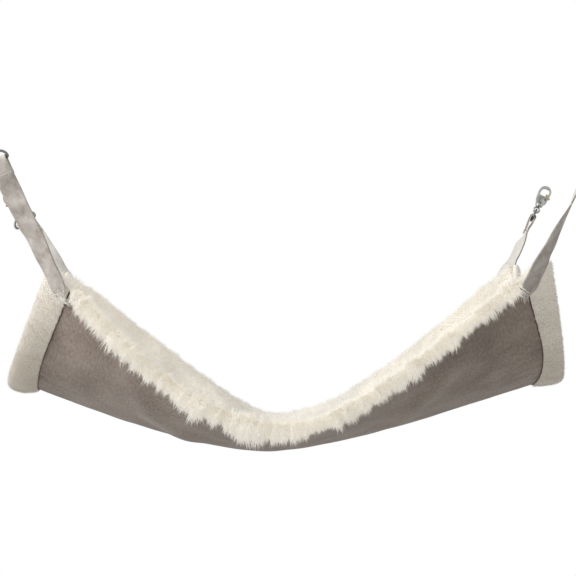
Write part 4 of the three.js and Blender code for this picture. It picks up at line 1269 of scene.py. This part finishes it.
# %% The D rings
RING_HEIGHT, RING_CORNER, RING_SIDE_PLAY, RING_SIDES = 0.010, 0.0018, 0.00075, 16
ring_side = STRAP_WIDTH / 2 + RING_SIDE_PLAY + RING_WIRE / 2
bar_end, small = ring_side - RING_CORNER, (RING_CORNER, RING_CORNER)
ring_line = [(x, 0) for x in np.linspace(-bar_end, bar_end, 20)]
ring_line += arc((bar_end, RING_CORNER), small, -90, 0, 8)[1:]
ring_line += arc((0, RING_CORNER), (ring_side, RING_HEIGHT - RING_CORNER), 0, 180, 56)[1:]
ring_line += arc((-bar_end, RING_CORNER), small, 180, 270, 8)[1:-1]
ring_rings = circle_rings([(x, 0, z) for x, z in ring_line], RING_WIRE / 2, RING_SIDES, True,
                          (0, 1, 0))
for corner in CORNERS:
    axes = AXES[corner]
    points = placed(ring_rings, axes, axes["bar"], axes["bar_x"])
    ring = skin(f"{corner}_wire_ring", points, RING_STEEL, f"{corner}_ring_body",
                joined=True)
    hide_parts(f"{corner}_d_ring")
print("D rings with", len(ring_line), "steps")

# %% [markdown]
# The swivel snap clip is the piece that takes the most care. Its body is a flat casting: a collar
# that the eye's stem turns in, a window over the stem's head, a belly that holds the gate's spring,
# a back arm and a hooked bow. The outline is drawn from arcs and bends, given its thickness, and cut
# with exact booleans. A bevel then rounds every edge, as a tumbled casting is.

# %% Sizes of the eye and the clip
EYE_WIRE, EYE_HOLE, STEM, STEM_HEAD, STEM_HEAD_HEIGHT = 0.0019, 0.004, 0.0022, 0.0038, 0.0013
CLIP_THICKNESS, COLLAR, COLLAR_HEIGHT, COLLAR_GAP = 0.005, 0.0068, 0.0026, 0.0005
WINDOW_HEIGHT, NECK_WIDTH, BELLY_WIDTH, BELLY_HEIGHT = 0.002, 0.0086, 0.0122, 0.0074
THROAT_LENGTH, BOW_OUTER, BOW_ARM, SEAT_WIDTH, TIP_LENGTH = 0.0086, 0.013, 0.0022, 0.0032, 0.0024
GATE_THICKNESS, GATE_WIDTH, GATE_HUB = 0.0022, 0.0019, 0.0044
GATE_REACH, GATE_NUB = 0.0011, 0.0017
GATE_INSET, TIP_SLOPE = 0.0005, 0.00025
PIN, PIN_INSET, PIN_RISE = 0.0016, 0.0023, 0.004
SPRING_WIRE, SPRING, SPRING_LENGTH, SPRING_TURNS, SPRING_RISE = 0.00035, 0.0015, 0.0042, 3.5, 0.0017
CLIP_ROUNDING, GATE_ROUNDING, CUT_PAST = 0.00045, 0.0003, 0.001
EYE_LOOP = (EYE_HOLE + EYE_WIRE) / 2
COLLAR_BASE = EYE_LOOP + EYE_WIRE / 2 + COLLAR_GAP
WINDOW_BASE = COLLAR_BASE + COLLAR_HEIGHT
BELLY_BASE = WINDOW_BASE + WINDOW_HEIGHT
BELLY_TOP = BELLY_BASE + BELLY_HEIGHT
BOW_RADIUS, BOW_INNER = BOW_OUTER / 2, BOW_OUTER / 2 - BOW_ARM
BOW_MIDDLE = BELLY_TOP + THROAT_LENGTH - math.sqrt(BOW_INNER ** 2 - (SEAT_WIDTH / 2) ** 2)
TIP_BASE = BOW_MIDDLE - TIP_LENGTH
PIN_X, PIN_HEIGHT = BELLY_WIDTH / 2 - PIN_INSET, BELLY_BASE + PIN_RISE
GATE_FACE = PIN_X - GATE_HUB / 2 + CLEARANCE
SPRING_BACK = GATE_FACE - CLEARANCE - SPRING_LENGTH
print("clip from the eye to the bow's top", round(BOW_MIDDLE + BOW_RADIUS, 4))

# %% [markdown]
# A flat casting could be drawn face by face, but bores and slots are easier to cut with solid
# bodies, as in a workshop. Loose plates, blocks and rods are made for that. They are joined to the
# casting or cut from it, and removed once the result is a plain mesh.


# %% Cast plates: outline, thickness, cuts and rounded edges
def loose(shape):
    """The object of a shape that will be joined or cut, and is removed after that."""
    mesh = bpy.data.meshes.new("loose")
    shape.to_mesh(mesh)
    shape.free()
    return in_scene("loose", mesh)


def plate(outline, thickness):
    """A plate with its outline in the X Z plane and its middle at Y zero."""
    shape = bmesh.new()
    front = shape.faces.new([shape.verts.new((x, -thickness / 2, z)) for x, z in outline])
    grown = bmesh.ops.extrude_face_region(shape, geom=[front])["geom"]
    far = [made for made in grown if isinstance(made, bmesh.types.BMVert)]
    bmesh.ops.translate(shape, vec=(0, thickness, 0), verts=far)
    bmesh.ops.recalc_face_normals(shape, faces=shape.faces)
    return loose(shape)


def block(x, z, thickness):
    return plate([(x[0], z[0]), (x[1], z[0]), (x[1], z[1]), (x[0], z[1])], thickness)


def rod(diameter, length, centre, along_y=True):
    shape = bmesh.new()
    bmesh.ops.create_cone(shape, cap_ends=True, segments=28, radius1=diameter / 2,
                          radius2=diameter / 2, depth=length)
    turn = Matrix.Rotation(math.pi / 2, 4, "X") if along_y else Matrix.Identity(4)
    bmesh.ops.transform(shape, matrix=Matrix.Translation(centre) @ turn, verts=shape.verts)
    return loose(shape)


def carved(body, steps, rounding):
    """Joins and cuts a body with other loose pieces, then rounds its edges."""
    for operation, other in steps:
        cut = body.modifiers.new(operation, "BOOLEAN")
        cut.operation, cut.object, cut.solver = operation, other, "EXACT"
    edge = body.modifiers.new("rounding", "BEVEL")
    edge.width, edge.segments = rounding, 3
    edge.limit_method, edge.angle_limit = "ANGLE", math.radians(40)
    graph = bpy.context.evaluated_depsgraph_get()
    mesh = bpy.data.meshes.new_from_object(body.evaluated_get(graph), depsgraph=graph)
    for made in [body, *(other for _, other in steps)]:
        bpy.data.objects.remove(made)
    mesh.shade_smooth()
    mesh.set_sharp_from_angle(angle=math.radians(50))
    return mesh


def clip_outline():
    """Round the clip from its collar: belly, throat, seat of the bow, tip, outer bow, back arm."""
    neck, belly = NECK_WIDTH / 2, BELLY_WIDTH / 2
    low, belly_middle = mix(WINDOW_BASE, BELLY_BASE, 0.6), mix(BELLY_BASE, BELLY_TOP, 0.5)
    seat = math.degrees(math.acos(SEAT_WIDTH / 2 / BOW_INNER))
    bow, inner, outer = (0, BOW_MIDDLE), (BOW_INNER, BOW_INNER), (BOW_RADIUS, BOW_RADIUS)
    line = [(COLLAR / 2, COLLAR_BASE), (neck, WINDOW_BASE)]
    line += bend((neck, low), (belly, BELLY_BASE), (belly, belly_middle))
    line += bend((belly, belly_middle), (belly, BELLY_TOP), (0.55 * belly, BELLY_TOP))[1:]
    line += [(-0.7 * BOW_INNER, BELLY_TOP), (-BOW_INNER, mix(BELLY_TOP, BOW_MIDDLE, 0.2))]
    line += arc(bow, inner, 180, 180 - seat, 9) + arc(bow, inner, seat, 0, 9)
    line += [(BOW_INNER, TIP_BASE), (mix(BOW_INNER, BOW_RADIUS, 0.7), TIP_BASE - TIP_SLOPE)]
    line += arc(bow, outer, 0, 180, 33)
    line += bend((-BOW_RADIUS, BELLY_TOP), (-belly, BELLY_BASE), (-neck, low), 16)
    return line + [(-neck, WINDOW_BASE), (-COLLAR / 2, COLLAR_BASE)]


def gate_outline():
    """Round the gate from its nub: front, head under the clip's tip, heel, hub."""
    behind, front, hub = BOW_INNER - CLEARANCE, BOW_RADIUS - GATE_INSET, GATE_HUB / 2
    under, low = TIP_BASE - GATE_INSET - CLEARANCE, BELLY_TOP - GATE_NUB
    nub = [(front, low), (front + GATE_NUB, low + GATE_NUB / 2), (front + GATE_NUB, low + GATE_NUB)]
    top = [(front, under), (behind, under), (behind, TIP_BASE + GATE_REACH)]
    heel = [(behind - GATE_WIDTH, TIP_BASE + GATE_REACH), (GATE_FACE, PIN_HEIGHT + hub)]
    round_hub = arc((PIN_X, PIN_HEIGHT), (hub, hub), 180, 360, 20)
    return nub + [(front, low + 2 * GATE_NUB)] + top + heel + round_hub


print("outlines of", len(clip_outline()), "and", len(gate_outline()), "points")

# %% [markdown]
# The casting is the plate with the collar joined on and five cuts: the stem's bore, the window over
# its head, the slot that the gate moves in, the pocket of the spring and the bore of the pin. Each
# cut is the piece that goes there plus the clearance, and it runs a little past the casting. The
# solver and the bevel can lay a few triangles differently from run to run, on the same surface.

# %% Carve the clip's body and its gate
through, collar_middle = CLIP_THICKNESS + 2 * CUT_PAST, COLLAR_BASE + COLLAR_HEIGHT / 2
slot_back, slot_width = PIN_X - GATE_HUB / 2 - 2 * GATE_REACH, GATE_THICKNESS + 2 * CLEARANCE
spring_half, window_side = (SPRING + SPRING_WIRE) / 2 + CLEARANCE, STEM_HEAD / 2 + CLEARANCE
spring_room = [PIN_HEIGHT + SPRING_RISE + sign * spring_half for sign in (-1, 1)]
slot_room = PIN_HEIGHT - GATE_HUB / 2 - CLEARANCE, BELLY_TOP + CUT_PAST
CLIP_MESH = carved(plate(clip_outline(), CLIP_THICKNESS), [
    ("UNION", rod(COLLAR, COLLAR_HEIGHT, (0, 0, collar_middle), False)),
    ("DIFFERENCE", rod(STEM + 2 * CLEARANCE, COLLAR_HEIGHT + 2 * CUT_PAST, (0, 0, collar_middle),
                       False)),
    ("DIFFERENCE", block((-window_side, window_side), (WINDOW_BASE, BELLY_BASE), through)),
    ("DIFFERENCE", block((slot_back, BELLY_WIDTH), slot_room, slot_width)),
    ("DIFFERENCE", block((SPRING_BACK - CLEARANCE, slot_back + CUT_PAST), spring_room, slot_width)),
    ("DIFFERENCE", rod(PIN + 2 * CLEARANCE, through, (PIN_X, 0, PIN_HEIGHT))),
], CLIP_ROUNDING)
GATE_MESH = carved(plate(gate_outline(), GATE_THICKNESS), [
    ("DIFFERENCE", rod(PIN + 2 * CLEARANCE, through, (PIN_X, 0, PIN_HEIGHT)))], GATE_ROUNDING)
print("clip", len(CLIP_MESH.polygons), "faces, gate", len(GATE_MESH.polygons), "faces")

# %% [markdown]
# The eye is a loop round the D ring with a headed stem, the pin is a rivet with two low domes, and
# the spring is a small coil behind the gate. All are skins through circles.

# %% The eye, the pin and the spring
EDGE, STEM_SINK = 0.0001, 0.0003
eye_turns = np.linspace(0, math.tau, 49)[:-1]
loop_line = [(0, math.cos(a) * EYE_LOOP, math.sin(a) * EYE_LOOP) for a in eye_turns]
loop_rings = circle_rings(loop_line, EYE_WIRE / 2, 14, True, (1, 0, 0))
head_base, head = WINDOW_BASE + CLEARANCE, STEM_HEAD / 2
stem_rings = turned_rings([
    (STEM / 2, EYE_LOOP - STEM_SINK), (STEM / 2, head_base - EDGE), (STEM / 2 + EDGE, head_base),
    (head - EDGE, head_base), (head, head_base + EDGE),
    (head, head_base + STEM_HEAD_HEIGHT * 0.55), (head * 0.8, head_base + STEM_HEAD_HEIGHT * 0.85),
    (head * 0.4, head_base + STEM_HEAD_HEIGHT)])
pin_face = -CLIP_THICKNESS / 2
pin_head = [(PIN * 0.2, pin_face), (PIN * 0.42, pin_face + EDGE), (PIN / 2, pin_face + 3 * EDGE)]
pin_rings = np.array(turned_rings(pin_head + [(radius, -z) for radius, z in reversed(pin_head)]))
pin_rings = pin_rings[..., [0, 2, 1]] + (PIN_X, 0, PIN_HEIGHT)
coil_turns = np.linspace(0, SPRING_TURNS * math.tau, 100)
coil_line = np.stack([
    SPRING_BACK + SPRING_WIRE / 2 + coil_turns / coil_turns[-1] * (SPRING_LENGTH - SPRING_WIRE),
    SPRING / 2 * np.cos(coil_turns),
    PIN_HEIGHT + SPRING_RISE + SPRING / 2 * np.sin(coil_turns)], axis=1)
coil_rings = circle_rings(coil_line, SPRING_WIRE / 2, 8, False, (1, 0, 0))
print("eye", len(loop_rings), "pin", len(pin_rings), "coil", len(coil_rings), "circles")

# %% [markdown]
# At each corner the eye turns with its own body, the rivet and the coil ride on the clip's frame,
# and the gate has a body that swings on the rivet. The casting and the gate are copies of the one
# carved mesh, moved in their mesh and not as objects, so that each object stays at the origin.


# %% Place the clips
def joined_skins(name, groups, finish, body):
    """One object from several skins, such as the loop and the stem of an eye."""
    points, faces, count = [], [], 0
    for rings, joined in groups:
        rings = np.asarray(rings)
        own = rings.reshape(-1, 3)
        faces += [group + count for group in faced_out(own, skin_faces(*rings.shape[:2], joined))]
        points.append(own)
        count += len(own)
    return piece(name, np.concatenate(points), faces, finish, body)


for corner in CORNERS:
    axes = AXES[corner]
    gate_y = -unit(np.array(joints[f"{corner}_gate_open"]["axis"]))
    clip_x = np.cross(gate_y, axes["z"])
    eye = [(placed(rings, axes, axes["spin"], axes["bar_x"]), joined) for rings, joined in
           ((loop_rings, True), (stem_rings, False))]
    made = joined_skins(f"{corner}_eye", eye, CLIP_STEEL, f"{corner}_eye_body")
    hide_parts(f"{corner}_swivel_eye")
    for name, rings, finish, slot, node in (
            ("rivet", pin_rings, RING_STEEL, "ring_steel", "gate_pin"),
            ("coil", coil_rings, CLIP_STEEL, "clip_steel", "gate_spring")):
        points = placed(rings, axes, axes["spin"], clip_x)
        made = skin(f"{corner}_{name}", points, finish, f"{corner}_clip_frame")
        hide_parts(f"{corner}_{node}")
    place = Matrix([[*row, 0] for row in (clip_x, gate_y, axes["z"])] + [[0, 0, 0, 1]]).transposed()
    place.translation = Vector(axes["spin"])
    for name, mesh, finish, slot, node, body in (
            ("clip_casting", CLIP_MESH, CLIP_STEEL, "clip_steel", "clip_body", "clip_frame"),
            ("clip_gate", GATE_MESH, GATE_BRASS, "gate_metal", "gate", "gate_body")):
        own = mesh.copy()
        own.transform(place)
        own.materials.clear()
        own.materials.append(finish)
        made = in_scene(f"{corner}_{name}", own)
        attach(made, f"{corner}_{body}")
        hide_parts(f"{corner}_{node}")
print("clips placed at", len(CORNERS), "corners")

# %% [markdown]
# Stitches follow lines: the hem seams, and the cross seam of each strap. A second Geometry Nodes
# tree walks along a line of points at an even pitch and sets one short bowed stitch on each step.
# The line carries the direction out of the cloth, so that every stitch sits on its outside.


# %% A stitch and the tree that sews a seam
def stitch_shape(name, length, thread_radius, rise):
    """A short thread, bowed out of the cloth, whose two ends go into it."""
    line = [((share - 0.5) * length, 0, rise * math.sin(share * math.pi) - rise * 0.45)
            for share in np.linspace(0, 1, 7)]
    rings = circle_rings(line, thread_radius, 6, False, (0, 1, 0))
    made = skin(name, rings, WHITE_THREAD)
    scene.collection.objects.unlink(made)
    return made


def seam_tree():
    tree = Tree("Sew a seam", Stitch="Object", Pitch="Float", Seed="Int", Finish="Material")
    line = tree.node("GeometryNodeMeshToCurve", {}, {"Mesh": tree.read("Geometry")})
    steps = tree.node("GeometryNodeResampleCurve", {"mode": "LENGTH"}, {
        "Curve": line, "Length": tree.read("Pitch")})
    run = tree.node("GeometryNodeInputTangent")
    flat = tree.node("FunctionNodeAlignRotationToVector", {"axis": "X"}, {"Vector": run})
    turned = tree.node("FunctionNodeAlignRotationToVector", {"axis": "Z", "pivot_axis": "X"}, {
        "Rotation": flat, "Vector": tree.carried("out", "FLOAT_VECTOR")})
    size = tree.node("FunctionNodeRandomValue", {"data_type": "FLOAT"}, {
        "Min": 0.85, "Max": 1.1, "Seed": tree.read("Seed")}, 1)
    tree.finish(tree.node("GeometryNodeInstanceOnPoints", {}, {
        "Points": steps, "Instance": tree.model("Stitch"), "Rotation": turned, "Scale": size}))
    return tree


def seam_line(points, outward):
    mesh = bpy.data.meshes.new("seam_line")
    mesh.from_pydata(np.asarray(points).tolist(), [(n, n + 1) for n in range(len(points) - 1)], [])
    outward = np.ascontiguousarray(np.broadcast_to(outward, (len(points), 3)), np.float32)
    mesh.attributes.new("out", "FLOAT_VECTOR", "POINT").data.foreach_set("vector", outward.ravel())
    return in_scene("seam_line", mesh)


SEW = seam_tree()
HEM_STITCH = stitch_shape("hem_stitch", 0.0036, 0.0005, 0.0006)
STRAP_STITCH = stitch_shape("strap_stitch", 0.0022, 0.00022, 0.0004)
print("seam tree with", len(SEW.tree.nodes), "nodes")

# %% [markdown]
# The hems are sewn in one long dark seam each, close to the inner edge of the band. The dark of
# its thread is partly the thread's own colour and partly painted shade of the crease along the
# seam. The cross seam of a strap is a short row of pale stitches on both of its sides, at the end
# of the fold.

# %% Sew the hems and the straps
SEAM_SHARE, SEAM_STEPS, SEAM_HEIGHT = 0.985, 240, -0.0004
CROSS_SEAM_SHARE, CROSS_SEAM_LIFT, CROSS_SEAM_PITCH = 0.42, 0.0001, 0.0027
for side, label in SIDES:
    across = np.linspace(-SEAM_SHARE * HALF_WIDTH, SEAM_SHARE * HALF_WIDTH, SEAM_STEPS)
    along = side * (hem_seam(across, side) + SEAM_INSET)
    line = seam_line(on_cloth(along, across, SEAM_HEIGHT), -on_grid(inward, along, across))
    SEW.grow(f"{label}_hem_seam", line, SEAM_THREAD_AND_CREASE_SHADE, "strap_suede", "bed",
                            Stitch=HEM_STITCH, Pitch=STITCH_PITCH, Seed=side + 2)
for number, corner in enumerate(CORNERS):
    axes = AXES[corner]
    wide, flat = axes["bar_x"], np.cross(axes["z"], axes["bar_x"])
    origin = axes["bar"] - axes["z"] * STRAP_FOLD
    rise = CLEARANCE / 2 + STRAP_THICKNESS + CROSS_SEAM_LIFT
    for sign, label in ((1, "front"), (-1, "back")):
        ends = [origin + wide * STRAP_WIDTH * CROSS_SEAM_SHARE * share + flat * sign * rise
                for share in (-1, 0, 1)]
        SEW.grow(
            f"{corner}_cross_seam_{label}", seam_line(ends, flat * sign), WHITE_THREAD,
            "strap_suede", f"{corner}_strap_body", Stitch=STRAP_STITCH, Pitch=CROSS_SEAM_PITCH,
            Seed=number)

# %% [markdown]
# The lower end of each strap is tacked to the hem by hand: a knot of loose white threads that cross
# each other over the gathered end. Each is a thin wire that bows over the cloth between two chosen
# spots, and a seeded draw makes them untidy.

# %% The tacking threads at the strap ends
TACKS, TACK_RADIUS = {"left": 28, "right": 10}, 0.0003
TACK_LEAST, TACK_MOST, TACK_BOW, TACK_RISE, TACK_SINK = 0.007, 0.017, 0.0022, 0.0009, 0.0002


def tack(draw, axes, stations):
    """One thread over the gathered end, as circles round its line."""
    middle, wide, normal, width_share = stations[draw.integers(0, 4)]
    start = middle + wide * STRAP_WIDTH * draw.uniform(-0.42, 0.42) * width_share
    turn = draw.normal(0, 0.5) + (math.pi / 2 if draw.uniform() < 0.35 else 0)
    run = -axes["z"] * math.cos(turn) + wide * math.sin(turn)
    run = unit(run - normal * (run @ normal))
    reach = draw.uniform(TACK_LEAST, TACK_MOST)
    bow = np.cross(run, normal) * draw.normal(0, TACK_BOW)
    line = [start + run * reach * (share - 0.4) + bow * math.sin(share * math.pi)
            + normal * (TACK_RISE * math.sin(share * math.pi) - TACK_SINK)
            for share in np.linspace(0, 1, 9)]
    return circle_rings(line, TACK_RADIUS, 6, False, normal)


for number, corner in enumerate(CORNERS):
    axes = AXES[corner]
    draw = np.random.default_rng(200 + number)
    stations = sewn_path(corner, axes, STRAP_THICKNESS / 2)
    strands = [(tack(draw, axes, stations), False) for _ in range(TACKS[corner.split("_")[1]])]
    joined_skins(f"{corner}_tacking", strands, WHITE_THREAD, "bed")

# %% [markdown]
# A strap layer's flat length is worked out: its sewn end, the part that stands off the corner, the
# free part up to the bar, and the fold. The outer layer goes a little further round.

OUTER_LAYER_MORE = 0.003
for corner, outer, inner in zip(CORNERS, straps[::2], straps[1::2]):
    for made, more in ((outer, OUTER_LAYER_MORE), (inner, 0.0)):
        length = AXES[corner]["length"] + STRAP_SEWN + STRAP_FOLD + STRAP_STAND_OFF + more
print("sheets declared:", 2 + len(straps))

# %% [markdown]
# The studio: one large lamp at the upper left, and a sky that is brighter above than below. The
# background is white only to the camera, to reflections and to light that passes through. All
# other rays see the sky. The floor is a wide disc far below, outside the main picture, and it
# takes the bed's shadow.

# %% Light, world and floor
AMBIENT, AMBIENT_BELOW = 0.62, 0.08
LAMP_PLACE, LAMP_POWER, LAMP_SIZE = Vector((-2.4, -1.5, 1.3)), 68, 1.8
FLOOR_DROP, FLOOR_RADIUS, FLOOR_SIDES = 0.75, 6.5, 64

key = in_scene("key", bpy.data.lights.new("key", "AREA"))
key.data.energy, key.data.size = LAMP_POWER, LAMP_SIZE
stand(key, LAMP_PLACE, LAMP_PLACE - CAMERA_TARGET)

world = bpy.data.worlds.new("studio")
scene.world = world
world.use_nodes = True
sky = Nodes(world.node_tree)
camera_ray = sky.node("ShaderNodeLightPath", output="Is Camera Ray")
seen = camera_ray.maths("MAXIMUM", camera_ray.also("Is Glossy Ray"))
seen = seen.maths("MAXIMUM", camera_ray.also("Is Transmission Ray"))
towards = sky.node("ShaderNodeTexCoord", output="Generated")
upwards = sky.node("ShaderNodeSeparateXYZ", {}, {0: towards}, "Z")
glow = sky.node("ShaderNodeMapRange", {}, {
    "Value": upwards, "From Min": -1, "From Max": 1,
    "To Min": AMBIENT_BELOW, "To Max": AMBIENT}, "Result")
strength = sky.node("ShaderNodeMapRange", {}, {"Value": seen, "To Min": glow}, "Result")
white = sky.node("ShaderNodeBackground", {}, {"Color": (1, 1, 1, 1), "Strength": strength})
sky.node("ShaderNodeOutputWorld", {}, {"Surface": white}, None)

floor_height = cad_low.z - FLOOR_DROP
floor_finish = Finish("floor_paint")
floor_grain = floor_finish.cloud(floor_finish.own_place(), 3.0, 3.0)
floor_colour = floor_finish.blend(floor_grain, light(218, 218, 216), light(228, 228, 227))
floor_finish.surface(Base_Color=floor_colour, Roughness=0.9)
floor_turns = np.linspace(0, math.tau, FLOOR_SIDES + 1)[:-1]
floor_mesh = bpy.data.meshes.new("floor")
floor_mesh.from_pydata([(FLOOR_RADIUS * math.cos(turn), FLOOR_RADIUS * math.sin(turn), floor_height)
                        for turn in floor_turns], [], [range(FLOOR_SIDES)])
floor_mesh.materials.append(floor_finish.material)
in_scene("floor", floor_mesh)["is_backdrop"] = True
print("floor at", round(floor_height, 3), "and a lamp of", LAMP_POWER, "watts")

# %% [markdown]
# The box of the imported solids and the box of the dressed bed are printed, so that the two can
# be compared.

# %% Print the two boxes and finish
new_low, new_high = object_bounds()
for name, low, high in (("cad", cad_low, cad_high), ("visual", new_low, new_high)):
    print(name, [round(value * 1000, 1) for value in (*low, *high)])
